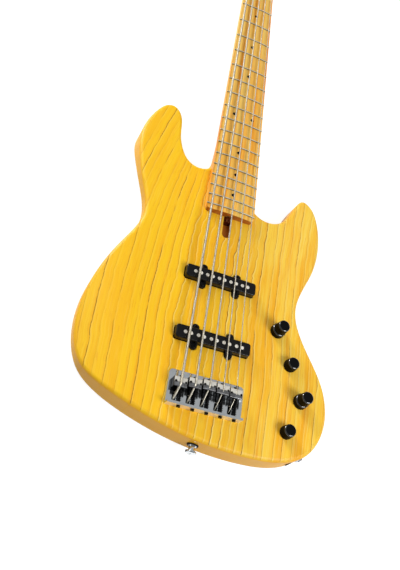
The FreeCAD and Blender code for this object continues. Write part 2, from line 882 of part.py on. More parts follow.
def channels():
    # Drilled ways for the leads: from rout to rout, and on to the control cavity.
    z = channel_height()
    start = Vector(lead_x(), bridge_pickup_distance, z)
    across = control_place(1)[0] - lead_x()
    return [rod(start, ahead, channel_radius, neck_pickup_distance - bridge_pickup_distance),
            rod(start, Vector(1, 0, 0), channel_radius, across)]


def lead_x():
    return ear_spread / 2 - channel_radius


def jack_plate(extra, height):
    reach = (jack_plate_length - jack_plate_width) / 2
    return capsule((-reach, 0), (reach, 0), jack_plate_width / 2 + extra, 0, height)


def make_control_cover():
    plate = cavity(cover_ledge - seat_gap, 0, cover_thickness)
    return plate.cut(wood_screws(countersink)[:len(cover_screw_places())])


def make_battery():
    x, y = bay(1, 3, battery_width, battery_length, 0, 0, front)[1:]
    half_x, half_y = battery_width / 2, battery_length / 2
    block = rounded_box(x - half_x, x + half_x, y - half_y, y + half_y, cover_thickness,
                        cover_thickness + battery_height, bay_gap)
    middle_z = cover_thickness + battery_height / 2
    snaps = [rod(Vector(x + side * battery_width / 4, y + half_y, middle_z), ahead, bay_gap, bay_gap / 2)
             for side in (-1, 1)]
    return fuse([block] + snaps)


def make_board():
    x, y = bay(0, 1, board_width, board_length, 0, 0, front)[1:]
    top = cavity_roof - board_standoff
    under = top - board_thickness
    half_x, half_y = board_width / 2, board_length / 2
    pieces = [rounded_box(x - half_x, x + half_x, y - half_y, y + half_y, under, top, bay_gap / 2)]
    for side in (-1, 1):
        place = Vector(x, y + side * (half_y - 3 * board_standoff_radius), top)
        pieces.append(rod(place, up, board_standoff_radius, board_standoff))
        place = Vector(x + side * board_width / 4, y + board_length / 4, under - capacitor_height)
        pieces.append(rod(place, up, capacitor_radius, capacitor_height))
    pieces.append(box(x - chip_width / 2, x + chip_width / 2, y - chip_length / 2, y + chip_length / 2,
                      under - chip_height, under))
    return Part.makeCompound(pieces)


def make_wiring():
    # Leads from the pickups, the jack and the battery, each along its own way.
    z = channel_height() - channel_radius + 2 * wire_radius
    apart = wire_radius + seat_gap
    coil_foot = front + pickup_rise - pickup_wall - coil_height - seat_gap
    can_side = control_place(1)[0] - pot_can_radius - seat_gap
    near_y, far_y = bridge_pickup_distance + apart, bridge_pickup_distance - apart
    x = lead_x()
    routes = [[Vector(x, neck_pickup_distance, coil_foot), Vector(x, neck_pickup_distance, z),
               Vector(x, near_y, z), Vector(can_side, near_y, z)],
              [Vector(x, far_y, coil_foot), Vector(x, far_y, z), Vector(can_side, far_y, z)]]
    jack_foot = Vector(0, 0, -jack_barrel_length - wire_radius)
    barrel_end = rim_frame(jack_share, jack_level, jack_plate_sink).multVec(jack_foot)
    pot_x, pot_y = control_place(3)
    can_foot = cavity_roof - pot_can_height - seat_gap
    routes.append([barrel_end, Vector(pot_x, pot_y, barrel_end.z), Vector(pot_x, pot_y, can_foot)])
    battery_x, battery_y = bay(1, 3, battery_width, battery_length, 0, 0, front)[1:]
    board_y = bay(0, 1, board_width, board_length, 0, 0, front)[2]
    snap = Vector(battery_x - battery_width / 4, battery_y + battery_length / 2 + bay_gap / 2 + seat_gap,
                  cover_thickness + battery_height / 2)
    solder_y = board_y - board_length / 4
    board_foot = cavity_roof - board_standoff - board_thickness - seat_gap
    routes.append([snap, Vector(snap.x, solder_y, snap.z), Vector(snap.x, solder_y, board_foot)])
    leads = []
    for route in routes:
        path = bent_path(route, [6 * wire_radius] * (len(route) - 2))
        lead = tube(path, wire_radius)
        print("lead", round(path.Length), "mm, volume over section times length",
              round(lead.Volume / (path.Length * math.pi * wire_radius ** 2), 4))
        leads.append(lead)
    return Part.makeCompound(leads)


def shaft_section(y, depth, power):
    # Cross-section of the neck: flat under the fingerboard and rounded below.
    half = neck_half(y)
    count = 16
    points = []
    for i in range(count + 1):
        across = math.cos(math.pi * i / count)
        down = math.sin(math.pi * i / count)
        x = math.copysign(abs(across) ** (2 / power), across) * half
        points.append(Vector(x, y, board_bottom - depth * abs(down) ** (2 / power)))
    curve = Part.BSplineCurve()
    curve.interpolate(points)
    return Part.Wire([curve.toShape(), Part.LineSegment(points[-1], points[0]).toShape()])


def head_plan(z0, z1):
    # Headstock whose bass-side rim runs beside the posts and whose treble side clears the strings.
    first, last = post_place(0), post_place(len(string_steps) - 1)
    along = (last - first).normalize()
    out = Vector(-along.y, along.x, 0)
    root = first + out * head_bass_margin - along * head_root_margin
    tip = last + out * head_bass_margin + along * head_tip_margin
    end = last - out * head_treble_margin + along * head_tip_margin
    half = nut_width / 2
    shoulder = scale_length + nut_length + head_shelf
    corners = ((-half, scale_length), (-half, shoulder), (root.x, root.y), (tip.x, tip.y), (end.x, end.y),
               (half, scale_length + head_waist), (half, scale_length))
    radii = (0, head_flare_radius, head_corner_radius, head_corner_radius, head_corner_radius,
             4 * head_flare_radius, 0)
    return rounded_prism(corners, radii, z0, z1)


def head_slab():
    # Flat headstock with a softened back, thinned towards the neck's shaft.
    slab = head_plan(head_back, board_bottom)
    rim = [edge for edge in slab.Edges if abs(edge.BoundBox.ZMax - head_back) < fit_gap]
    rim = [edge for edge in rim if edge.BoundBox.YMax > scale_length + fit_gap]
    slab = slab.makeFillet(head_drop, rim)
    start = Vector(-body_width, scale_length, board_bottom - shaft_depth_nut)
    run = scale_length + first_post / 2
    low = head_back - head_thickness
    corners = [start, Vector(-body_width, run, head_back), Vector(-body_width, run, low),
               Vector(-body_width, scale_length - overrun, low),
               Vector(-body_width, scale_length - overrun, start.z)]
    wedge = Part.Face(Part.makePolygon(corners + corners[:1])).extrude(Vector(2 * body_width, 0, 0))
    return slab.cut(wedge)


def head_ramp():
    # Everything over the headstock's face, with a hollow ramp up to the nut.
    shelf = scale_length + nut_length + head_shelf
    run = math.sqrt(2 * head_ramp_radius * head_drop - head_drop ** 2)
    centre = Vector(-body_width, shelf + run, head_face + head_ramp_radius)
    turn = math.asin(run / head_ramp_radius) / 2
    middle = centre + Vector(0, -head_ramp_radius * math.sin(turn), -head_ramp_radius * math.cos(turn))
    far = shelf + body_length
    high = board_top + overrun
    edges = [Part.Arc(Vector(-body_width, shelf, board_bottom), middle,
                      Vector(-body_width, shelf + run, head_face)).toShape()]
    corners = [Vector(-body_width, shelf + run, head_face), Vector(-body_width, far, head_face),
               Vector(-body_width, far, high), Vector(-body_width, shelf, high),
               Vector(-body_width, shelf, board_bottom)]
    edges += Part.makePolygon(corners).Edges
    return Part.Face(Part.Wire(edges)).extrude(Vector(2 * body_width, 0, 0))


def make_neck():
    heel_depth = board_bottom - pocket_floor
    heel_end = neck_end + heel_run
    shaft_start = heel_end + heel_blend
    heel = neck_plan(0, pocket_floor, board_bottom, heel_end)
    middle = shaft_section(heel_end + heel_blend / 2, (heel_depth + shaft_depth_heel) / 2, blend_fullness)
    start = shaft_section(shaft_start, shaft_depth_heel, shaft_fullness)
    blend = Part.makeLoft([shaft_section(heel_end, heel_depth, heel_fullness), middle, start], True, False)
    shaft = Part.makeLoft([start, shaft_section(scale_length, shaft_depth_nut, shaft_fullness)], True, True)
    solid = fuse([heel, blend, shaft, head_slab()])
    room = rod_radius + seat_gap
    tools = [head_ramp()]
    tools.append(box(-room, room, neck_end - overrun, scale_length - rod_end_distance, rod_axis_z - room,
                     board_bottom + overrun))
    for i in range(len(string_steps)):
        tools.append(rod(post_place(i) + up * (head_back - overrun), up, bushing_radius,
                         head_thickness + 2 * overrun))
    tools += neck_screws(countersink) + wood_screws(countersink)[-len(string_steps):]
    return solid.cut(tools)


def crown(extra):
    # Round bar whose top is the fingerboard's surface, raised by extra.
    base = Vector(0, neck_end - overrun, board_top - fingerboard_radius)
    return rod(base, ahead, fingerboard_radius + extra, scale_length)


def arched(profile, y, half):
    # Bar across the fingerboard that follows its crown: profile holds (along, height) corners.
    centre = Vector(0, y, board_top - fingerboard_radius)
    places = [centre + Vector(0, along, fingerboard_radius + height) for along, height in profile]
    angle = math.degrees(math.asin(half / fingerboard_radius))
    face = Part.Face(Part.makePolygon(places + places[:1]))
    face.rotate(centre, ahead, -angle)
    return face.revolve(centre, ahead, 2 * angle)


def dots():
    places = [(0, fret) for fret in dot_frets]
    places += [(side * octave_dot_spread / 2, octave_fret) for side in (-1, 1)]
    plugs = []
    for x, fret in places:
        y = (fret_y(fret) + fret_y(fret - 1)) / 2
        base = board_top - x * x / (2 * fingerboard_radius) - dot_depth
        plugs.append(rod(Vector(x, y, base), up, dot_diameter / 2, dot_depth + fret_height))
    return plugs


def make_fingerboard():
    board = neck_plan(0, board_bottom, board_top + overrun, scale_length).common(crown(0))
    tang = tang_width / 2 + fit_gap
    deep = tang_depth + fit_gap
    groove = ((-tang, -deep), (tang, -deep), (tang, overrun), (-tang, overrun))
    tools = dots()
    for number in range(1, fret_count + 1):
        tools.append(arched(groove, fret_y(number), neck_half(fret_y(number)) + overrun))
    return board.cut(tools)


def make_frets():
    half, tang = fret_width / 2, tang_width / 2
    shoulder = fret_height - fret_crown_radius
    inset = half - fret_crown_radius
    brow = (inset + fret_crown_radius / 2, fret_height - fret_crown_radius / 4)
    profile = ((-half, 0), (-half, shoulder), (-brow[0], brow[1]), (-inset / 2, fret_height),
               (inset / 2, fret_height), brow, (half, shoulder), (half, 0),
               (tang, 0), (tang, -tang_depth), (-tang, -tang_depth), (-tang, 0))
    bars = [arched(profile, fret_y(number), neck_half(fret_y(number)) - fit_gap)
            for number in range(1, fret_count + 1)]
    return Part.makeCompound(bars)


def make_nut():
    half = nut_width / 2
    block = box(-half, half, scale_length, scale_length + nut_length, board_bottom,
                board_top + 2 * nut_length)
    nut = block.common(crown(fret_height + nut_action + nut_rise))
    grooves = []
    for i in range(len(string_steps)):
        points, radii = string_run(i)
        near = points[2] + (points[3] - points[2]) * (1 - nut_length / scale_length)
        far = points[3] + (points[4] - points[3]).normalize() * (3 * nut_length)
        grooves.append(tube(bent_path([near, points[3], far], radii[2:3]), string_radii[i] + string_gap))
    return nut.cut(grooves)


def make_truss_rod():
    far = scale_length - rod_end_distance - seat_gap
    start = neck_end - wheel_gap - wheel_length / 2
    return rod(Vector(0, start, rod_axis_z), ahead, rod_radius, far - start)


def make_wheel():
    base = Vector(0, neck_end - wheel_gap - wheel_length, rod_axis_z)
    wheel = rod(base, ahead, wheel_radius, wheel_length)
    wheel = wheel.makeFillet(wheel_gap / 2, [edge for edge in wheel.Edges if len(edge.Vertexes) == 1])
    tools = [rod(base + ahead * (wheel_length / 2 - fit_gap), ahead, rod_radius + fit_gap, wheel_length)]
    for i in range(wheel_hole_count):
        angle = math.pi * i / wheel_hole_count
        across = Vector(math.cos(angle), 0, math.sin(angle))
        middle = base + ahead * (wheel_length / 4)
        tools.append(rod(middle - across * 2 * wheel_radius, across, wheel_hole_radius, 4 * wheel_radius))
    return wheel.cut(tools)


def make_ferrules():
    rings = []
    for place in neck_screw_places():
        rings.append(rod(place, up, ferrule_radius, ferrule_depth))
    rings = [ring.cut(neck_screws(countersink)) for ring in rings]
    for i in range(len(string_steps)):
        ring = rod(anchor(i), up, string_ferrule_radius, string_ferrule_depth)
        well = rod(anchor(i) - up * overrun, up, ball_radius + seat_gap, ball_length + seat_gap + overrun)
        bore = rod(anchor(i), up, thickest_string / 2 + string_gap, string_ferrule_depth + overrun)
        rings.append(ring.cut([well, bore]))
    return Part.makeCompound(rings)


def slotted(tip_axis, head_at, radius, head_radius, length):
    return countersunk(tip_axis, head_at, radius, head_radius, length, screw_slot_width)


def make_strap_buttons():
    head = button_base_height + button_waist_height
    total = head + button_head_height
    profile = ((0, 0), (button_base_radius, 0), (button_waist_radius, button_base_height),
               (button_waist_radius, head), (button_head_radius, head + button_head_height / 4),
               (button_head_radius, head + button_head_height * 3 / 4),
               (button_head_radius - button_head_height / 4, total), (0, total))
    buttons = []
    for share, level in strap_places():
        frame = rim_frame(share, level, strap_seat_depth - felt_thickness)
        button = placed(turned(profile, Vector(0, 0, 0), up), frame)
        buttons.append(button.cut(strap_screws(countersink)))
    return Part.makeCompound(buttons)


def make_felts():
    rings = []
    for share, level in strap_places():
        ring = rod(Vector(0, 0, 0), up, felt_radius, felt_thickness)
        rings.append(placed(ring, rim_frame(share, level, strap_seat_depth)).cut(strap_screws(countersink)))
    return Part.makeCompound(rings)


def make_jack_plate():
    frame = rim_frame(jack_share, jack_level, jack_plate_sink)
    plate = placed(jack_plate(0, jack_plate_thickness), frame)
    hole = rod(Vector(0, 0, -overrun), up, jack_thread_radius + fit_gap, jack_plate_thickness + 2 * overrun)
    hole = placed(hole, frame)
    jack_screws = wood_screws(countersink)[len(cover_screw_places()):-len(string_steps)]
    return plate.cut([hole] + jack_screws)


def hexagon(radius, z0, z1):
    corners = [(radius * math.cos(math.pi * i / 3), radius * math.sin(math.pi * i / 3)) for i in range(6)]
    return rounded_prism(corners, (0,) * 6, z0, z1)


def jack_mouth():
    return jack_plate_thickness + jack_nut_height + jack_thread_rise


def make_jack():
    frame = rim_frame(jack_share, jack_level, jack_plate_sink)
    barrel = rod(Vector(0, 0, -jack_barrel_length), up, jack_barrel_radius, jack_barrel_length)
    thread = rod(Vector(0, 0, 0), up, jack_thread_radius, jack_mouth())
    floor = jack_barrel_radius / 2 - jack_barrel_length
    bore = rod(Vector(0, 0, floor), up, jack_bore_radius, jack_barrel_length + jack_mouth())
    nut = hexagon(jack_nut_radius, jack_plate_thickness, jack_plate_thickness + jack_nut_height)
    nut = nut.cut(rod(Vector(0, 0, 0), up, jack_thread_radius, jack_mouth()))
    return placed(Part.makeCompound([fuse([barrel, thread]).cut(bore), nut]), frame)


def make_pickup_cover(distance, length, pitch):
    shell = pickup_plan(distance, length, 0, front - pickup_depth, front + pickup_rise)
    top = [edge for edge in shell.Edges if edge.BoundBox.ZMin > front + pickup_rise - fit_gap]
    shell = shell.makeFillet(pickup_edge_radius, top)
    shell = fuse([shell] + ears(distance, 0, front + ear_rise - ear_thickness, front + ear_rise))
    hollow = pickup_plan(distance, length, -pickup_wall, front - pickup_depth - overrun,
                         front + pickup_rise - pickup_wall)
    holes = [rod(place - up * pole_length, up, pole_radius, pole_length + overrun)
             for place in pole_places(distance, pitch)]
    return shell.cut([hollow] + holes + pickup_screws(fit_gap))


def pole_places(distance, pitch):
    return [Vector(step * pitch + side * pole_gap / 2, distance, front + pickup_rise + pole_rise)
            for step in string_steps for side in (-1, 1)]


def make_poles():
    poles = []
    for distance, length, pitch in pickups():
        poles += [rod(place - up * pole_length, up, pole_radius, pole_length)
                  for place in pole_places(distance, pitch)]
    return Part.makeCompound(poles)


def make_coils():
    coils = []
    for distance, length, pitch in pickups():
        top = front + pickup_rise - pickup_wall
        block = pickup_plan(distance, length, -pickup_wall - coil_margin, top - coil_height, top)
        coils.append(block.cut([rod(place - up * 2 * pole_length, up, pole_radius, 3 * pole_length)
                                for place in pole_places(distance, pitch)]))
    return Part.makeCompound(coils)


def make_pickup_screws():
    heads = []
    for shank in pickup_screws(0):
        top = Vector(shank.CenterOfMass.x, shank.CenterOfMass.y, front + ear_rise)
        head = rod(top, up, pickup_screw_head_radius, pickup_screw_head_height)
        rim = [edge for edge in head.Edges if edge.BoundBox.ZMin > front + ear_rise + fit_gap]
        head = head.makeFillet(pickup_screw_head_height / 2, rim[:1])
        arm = pickup_screw_head_radius / 2
        slots = [box(top.x - arm, top.x + arm, top.y - screw_slot_width / 2, top.y + screw_slot_width / 2,
                     top.z + pickup_screw_head_height / 2, top.z + overrun),
                 box(top.x - screw_slot_width / 2, top.x + screw_slot_width / 2, top.y - arm, top.y + arm,
                     top.z + pickup_screw_head_height / 2, top.z + overrun)]
        heads.append(fuse([shank, head]).cut(slots))
    return Part.makeCompound(heads)


def make_foam():
    # Pads between a rout's floor and its pickup, clear of the leads.
    pads = []
    inner, outer = channel_radius + 2 * seat_gap, pickup_width / 2 - seat_gap
    for distance, length, pitch in pickups():
        for end in (-1, 1):
            for side in (-1, 1):
                near, far = sorted((end * length * foam_near_share, end * length * foam_far_share))
                low, high = sorted((distance + side * inner, distance + side * outer))
                pads.append(box(near, far, low, high, front - rout_depth, front - pickup_depth))
    return Part.makeCompound(pads)


def make_bridge_plate():
    half = bridge_width / 2
    corners = ((-half, -bridge_back), (half, -bridge_back), (half, bridge_front), (-half, bridge_front))
    radii = (bridge_bend_radius, bridge_bend_radius, bridge_corner_radius, bridge_corner_radius)
    base = rounded_prism(corners, radii, front, plate_top)
    wall = rounded_box(-half, half, -bridge_back, bridge_wall_thickness - bridge_back, front,
                       front + bridge_wall_height, bridge_bend_radius)
    plate = fuse([base, wall])
    tools = bridge_screws(countersink)
    for i in range(len(string_steps)):
        tools.append(string_slot(i, front - overrun, plate_top + overrun))
        tools.append(rod(screw_start(i) - ahead * overrun, ahead, intonation_screw_radius + fit_gap,
                         bridge_wall_thickness + 2 * overrun))
    return plate.cut(tools)


def screw_start(i):
    # Rear face of the bridge's wall, on an intonation screw's axis.
    return Vector(string_x(i, 0) + screw_offset, -bridge_back, screw_axis_z)


def height_screw_places(i):
    place = crest(i)
    y = place.y + (saddle_front - saddle_rear) / 2
    return [Vector(place.x + side * height_screw_spread, y, plate_top + fit_gap) for side in (-1, 1)]


def saddle_top(i):
    return crest(i).z - string_radii[i] + saddle_groove


def make_saddle(i):
    place = crest(i)
    block = box(place.x - saddle_width / 2, place.x + saddle_width / 2, place.y - saddle_rear,
                place.y + saddle_front, plate_top + saddle_lift, saddle_top(i))
    rim = [edge for edge in block.Edges if edge.BoundBox.ZMin > saddle_top(i) - fit_gap]
    block = block.makeFillet(saddle_edge_radius, rim)
    points, radii = string_run(i)
    ahead_of = place + (points[3] - place).normalize() * (2 * saddle_front)
    groove = tube(bent_path([points[1], place, ahead_of], radii[1:2]), string_radii[i] + string_gap)
    tools = [groove]
    tools.append(rod(screw_start(i), ahead, intonation_screw_radius + fit_gap, bridge_back + bridge_front))
    screws = []
    for foot in height_screw_places(i):
        length = saddle_top(i) - height_screw_inset - foot.z
        screw = rod(foot, up, height_screw_radius, length)
        socket = rod(foot + up * (length * height_socket_share), up, height_screw_socket_radius, length)
        tools.append(rod(foot, up, height_screw_radius, 2 * length))
        screws.append(screw.cut(socket))
    return Part.makeCompound([block.cut(tools)] + screws)


def make_intonation_screw(i):
    start = screw_start(i)
    end = crest(i).y + saddle_front + intonation_screw_lead
    shank = rod(start - ahead * fit_gap, ahead, intonation_screw_radius, end - start.y + fit_gap)
    head = rod(start - ahead * (intonation_head_height + fit_gap), ahead, intonation_head_radius,
               intonation_head_height)
    half, deep = intonation_slot_width / 2, intonation_head_height / 2
    back = start.y - intonation_head_height - fit_gap
    across = 2 * intonation_head_radius
    slot = box(start.x - half, start.x + half, back - overrun, back + deep, start.z - across, start.z + across)
    return fuse([shank, head]).cut(slot)


def make_springs():
    springs = []
    radius = intonation_screw_radius + spring_gap + spring_wire / 2
    for i in range(len(string_steps)):
        near = bridge_wall_thickness - bridge_back + spring_wire
        far = crest(i).y - saddle_rear - spring_wire
        base = Vector(screw_start(i).x, near, screw_axis_z)
        pitch = (far - near) / spring_turns
        springs.append(coil(base, ahead, up, radius, pitch, spring_turns, spring_wire))
    return Part.makeCompound(springs)


def make_strings():
    pieces = []
    for i in range(len(string_steps)):
        points, radii = string_run(i)
        path = bent_path(points, radii)
        string = tube(path, string_radii[i])
        print("string", i + 1, "length", round(path.Length), "volume over section times length",
              round(string.Volume / (path.Length * math.pi * string_radii[i] ** 2), 4))
        pieces.append(string)
        pieces.append(rod(anchor(i) + up * seat_gap, up, ball_radius, ball_length))
    return Part.makeCompound(pieces)


def make_housings():
    shells = []
    reach = worm_length / 2 + housing_gap
    low = key_axis_z - max(gear_thickness / 2, worm_radius) - housing_gap
    for i in range(len(string_steps)):
        back = -(gear_radius + housing_gap + housing_wall)
        side = gear_to_worm + worm_radius + housing_gap + housing_wall
        shell = rounded_box(-reach - housing_wall, reach + housing_bearing, back, side, low - housing_wall,
                            head_back, housing_wall)
        tab = box(-reach - housing_wall - housing_tab, 0, -housing_tab / 2, housing_tab / 2,
                  head_back - housing_tab_thickness, head_back)
        tools = [rod(Vector(0, 0, low), up, gear_radius + housing_gap, head_back)]
        out = Vector(1, 0, 0)
        axis = Vector(0, gear_to_worm, key_axis_z)
        tools.append(rod(axis - out * reach, out, worm_radius + housing_gap, 2 * reach))
        tools.append(rod(axis, out, key_shaft_radius + fit_gap, 2 * worm_length))
        tools.append(rod(axis - out * (reach + housing_wall / 2), out, key_pivot_radius + fit_gap, reach))
        shell = placed(fuse([shell, tab]).cut(tools), tuner_frame(i))
        shells.append(shell.cut(wood_screws(countersink)[i - len(string_steps)]))
    return Part.makeCompound(shells)


def make_bushings():
    sleeves = []
    for i in range(len(string_steps)):
        foot = post_place(i) + up * (head_face - bushing_length)
        sleeve = rod(foot, up, bushing_radius, bushing_length)
        flange = rod(post_place(i) + up * head_face, up, bushing_flange_radius, bushing_flange_thickness)
        bore = rod(foot - up * overrun, up, post_shank_radius + fit_gap, 2 * bushing_length)
        rim = [edge for edge in flange.Edges if edge.BoundBox.ZMin > head_face + fit_gap]
        flange = flange.makeFillet(bushing_flange_thickness / 3, rim[:1])
        sleeves.append(fuse([sleeve, flange]).cut(bore))
    return Part.makeCompound(sleeves)


def make_key(i):
    out = Vector(1, 0, 0)
    axis = Vector(0, gear_to_worm, key_axis_z)
    half = worm_length / 2
    reach = head_bass_margin + key_clearance
    worm = rod(axis - out * half, out, worm_radius, worm_length)
    pivot = rod(axis - out * (half + housing_gap + housing_wall / 3), out, key_pivot_radius, half)
    shaft = rod(axis, out, key_shaft_radius, reach + button_length / 2)
    collar = rod(axis + out * reach, out, button_collar_radius, button_length / 4)
    centre = axis + out * (reach + button_length * button_centre_share) - Vector(0, button_thickness / 2, 0)
    rim = Part.Ellipse(centre + Vector(0, 0, button_width / 2), centre + out * (button_length / 2), centre)
    paddle = Part.Face(Part.Wire(rim.toShape())).extrude(ahead * button_thickness)
    paddle = paddle.makeFillet(button_edge_radius, [edge for edge in paddle.Edges if edge.isClosed()])
    return placed(fuse([worm, pivot, shaft, collar, paddle]), tuner_frame(i))


def make_post(i):
    place = post_place(i)
    gear_foot = key_axis_z - gear_thickness / 2
    seat = head_face + bushing_flange_thickness + fit_gap
    waist = seat + post_flange_thickness
    cap = waist + winding_room
    top = cap + post_cap_thickness
    profile = ((0, gear_foot), (gear_radius, gear_foot), (gear_radius, gear_foot + gear_thickness),
               (post_shank_radius, gear_foot + gear_thickness), (post_shank_radius, seat),
               (post_flange_radius, seat), (post_flange_radius, waist), (post_waist_radius, waist),
               (post_waist_radius, cap), (post_flange_radius, cap + post_cap_thickness / 3),
               (post_flange_radius, cap + post_cap_thickness * 2 / 3),
               (post_flange_radius - post_cap_thickness / 3, top), (0, top))
    post = turned(profile, place, up)
    teeth = []
    for number in range(gear_tooth_count):
        gash = box(gear_radius - gear_tooth_depth, gear_radius + overrun, -gear_tooth_width / 2,
                   gear_tooth_width / 2, gear_foot - overrun, gear_foot + gear_thickness + overrun)
        gash.rotate(Vector(0, 0, 0), up, 360 * number / gear_tooth_count)
        gash.translate(place)
        teeth.append(gash)
    across = 2 * post_flange_radius
    slot = box(place.x - across, place.x + across, place.y - post_slot_width / 2,
               place.y + post_slot_width / 2, cap, top + overrun)
    wire = 2 * string_radii[i]
    base = place + up * (winding_foot() + string_radii[i])
    winding = coil(base, up, Vector(1, 0, 0), winding_radius(i), wire + winding_spare, winding_turns, wire)
    return Part.makeCompound([post.cut(teeth + [slot]), winding])


def make_retainer():
    y = scale_length + retainer_distance
    held = [i for i, step in enumerate(string_steps) if step >= 0]
    x0 = string_x(held[0], y) - retainer_overlap
    x1 = string_x(held[-1], y) + retainer_overlap
    axis_z = head_face + retainer_rise + retainer_radius
    bar = rod(Vector(x0, y, axis_z), Vector(1, 0, 0), retainer_radius, x1 - x0)
    bar = bar.makeFillet(retainer_radius / 4, [edge for edge in bar.Edges if edge.isClosed()])
    feet = [rod(Vector(x, y, head_face), up, retainer_foot_radius, retainer_rise + retainer_radius)
            for x in (x0 + retainer_radius, x1 - retainer_radius)]
    return fuse([bar] + feet)


def make_pots():
    pieces = []
    for i in range(len(control_shares)):
        place = Vector(*control_place(i), cavity_roof)
        can = rod(place - up * pot_can_height, up, pot_can_radius, pot_can_height)
        thread = rod(place, up, pot_bushing_radius, roof_thickness + pot_thread_rise)
        bore = rod(place - up * (pot_can_height / 2), up, pot_shaft_radius + fit_gap, front)
        pieces.append(fuse([can, thread]).cut(bore))
        nut = hexagon(pot_nut_radius, front, front + pot_nut_height)
        nut.translate(Vector(place.x, place.y, 0))
        pieces.append(nut.cut(rod(place, up, pot_bushing_radius, front)))
    return Part.makeCompound(pieces)


def knob_cap(place, foot, radius, top_radius, height):
    # Tapered cap with fine ribs round its side and a softened rim.
    cap = turned(((0, 0), (radius, 0), (top_radius, height), (0, height)), place + up * foot, up)
    rim = [edge for edge in cap.Edges if edge.BoundBox.ZMin > foot + height / 2 and edge.isClosed()]
    cap = cap.makeFillet(knob_edge_radius, rim)
    grooves = []
    lean = Vector(top_radius - radius, 0, height).normalize()
    for number in range(knob_rib_count):
        start = Vector(radius + knob_rib_radius / 2, 0, foot) - lean * overrun
        groove = rod(start, lean, knob_rib_radius, height - 2 * knob_edge_radius + overrun)
        groove.rotate(Vector(0, 0, 0), up, 360 * number / knob_rib_count)
        groove.translate(place)
        grooves.append(groove)
    return cap.cut(grooves)


def make_knob(i, level):
    # Level 0 is a single knob, 1 the lower and 2 the upper knob of a stacked pair.
    place = Vector(*control_place(i), 0)
    foot = front + knob_gap
    shaft_foot = cavity_roof - pot_can_height / 2 + fit_gap
    radius, top_radius, height = knob_radius, knob_top_radius, knob_height
    if level == 1:
        radius, height = knob_lower_radius, knob_lower_height
        top_radius = knob_lower_radius - knob_rib_radius
    if level == 2:
        foot += knob_lower_height + knob_gap
        radius, height = knob_top_radius + knob_rib_radius, knob_upper_height
    shaft_radius = pot_inner_shaft_radius if level == 2 else pot_shaft_radius
    shaft_top = foot + height - 2 * knob_edge_radius if level != 1 else foot + height
    cap = knob_cap(place, foot, radius, top_radius, height)
    shaft = rod(place + up * shaft_foot, up, shaft_radius, shaft_top - shaft_foot)
    tools = [rod(place + up * shaft_foot, up, shaft_radius, shaft_top - shaft_foot)]
    if level != 2:
        base = place + up * (foot - overrun)
        tools.append(rod(base, up, knob_recess_radius, knob_recess_depth + overrun))
    if level == 1:
        bore = rod(place, up, pot_inner_shaft_radius + fit_gap, 2 * front)
        tools = [tools[0].fuse(bore)] + tools[1:]
        shaft = shaft.cut(bore)
    return Part.makeCompound([cap.cut(tools), shaft])


nodes = {
    "body": make_body(),
    "control_cover": make_control_cover(),
    "battery": make_battery(),
    "preamp_board": make_board(),
    "potentiometers": make_pots(),
    "wiring": make_wiring(),
    "wood_screws": Part.makeCompound(wood_screws(slotted)),
    "bridge_screws": Part.makeCompound(bridge_screws(slotted)),
    "neck_screws": Part.makeCompound(neck_screws(slotted)),
    "strap_button_screws": Part.makeCompound(strap_screws(slotted)),
    "body_ferrules": make_ferrules(),
    "strap_buttons": make_strap_buttons(),
    "strap_button_felts": make_felts(),
    "jack_plate": make_jack_plate(),
    "output_jack": make_jack(),
    "neck": make_neck(),
    "fingerboard": make_fingerboard(),
    "frets": make_frets(),
    "position_dots": Part.makeCompound([plug.common(crown(0)) for plug in dots()]),
    "nut": make_nut(),
    "truss_rod": make_truss_rod(),
    "truss_rod_wheel": make_wheel(),
    "neck_pickup_cover": make_pickup_cover(*pickups()[0]),
    "bridge_pickup_cover": make_pickup_cover(*pickups()[1]),
    "pickup_coils": make_coils(),
    "pickup_poles": make_poles(),
    "pickup_screws": make_pickup_screws(),
    "pickup_foam": make_foam(),
    "bridge_plate": make_bridge_plate(),
    "saddle_springs": make_springs(),
    "strings": make_strings(),
    "tuner_housings": make_housings(),
    "tuner_bushings": make_bushings(),
    "string_retainer": make_retainer(),
}
for i in range(len(string_steps)):
    nodes[f"saddle_{i + 1}"] = make_saddle(i)
    nodes[f"intonation_screw_{i + 1}"] = make_intonation_screw(i)
    nodes[f"tuner_key_{i + 1}"] = make_key(i)
    nodes[f"tuner_post_{i + 1}"] = make_post(i)
for i, stacked in enumerate(control_stacked):
    if stacked:
        nodes[f"knob_{i + 1}_lower"] = make_knob(i, 1)
        nodes[f"knob_{i + 1}_upper"] = make_knob(i, 2)
    else:
        nodes[f"knob_{i + 1}"] = make_knob(i, 0)

os.makedirs("parts", exist_ok=True)
for name, shape in nodes.items():
    shape.exportStep(f"parts/{name}.step")
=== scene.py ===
import bmesh
import bpy
import json
import math
from mathutils import Matrix, Vector


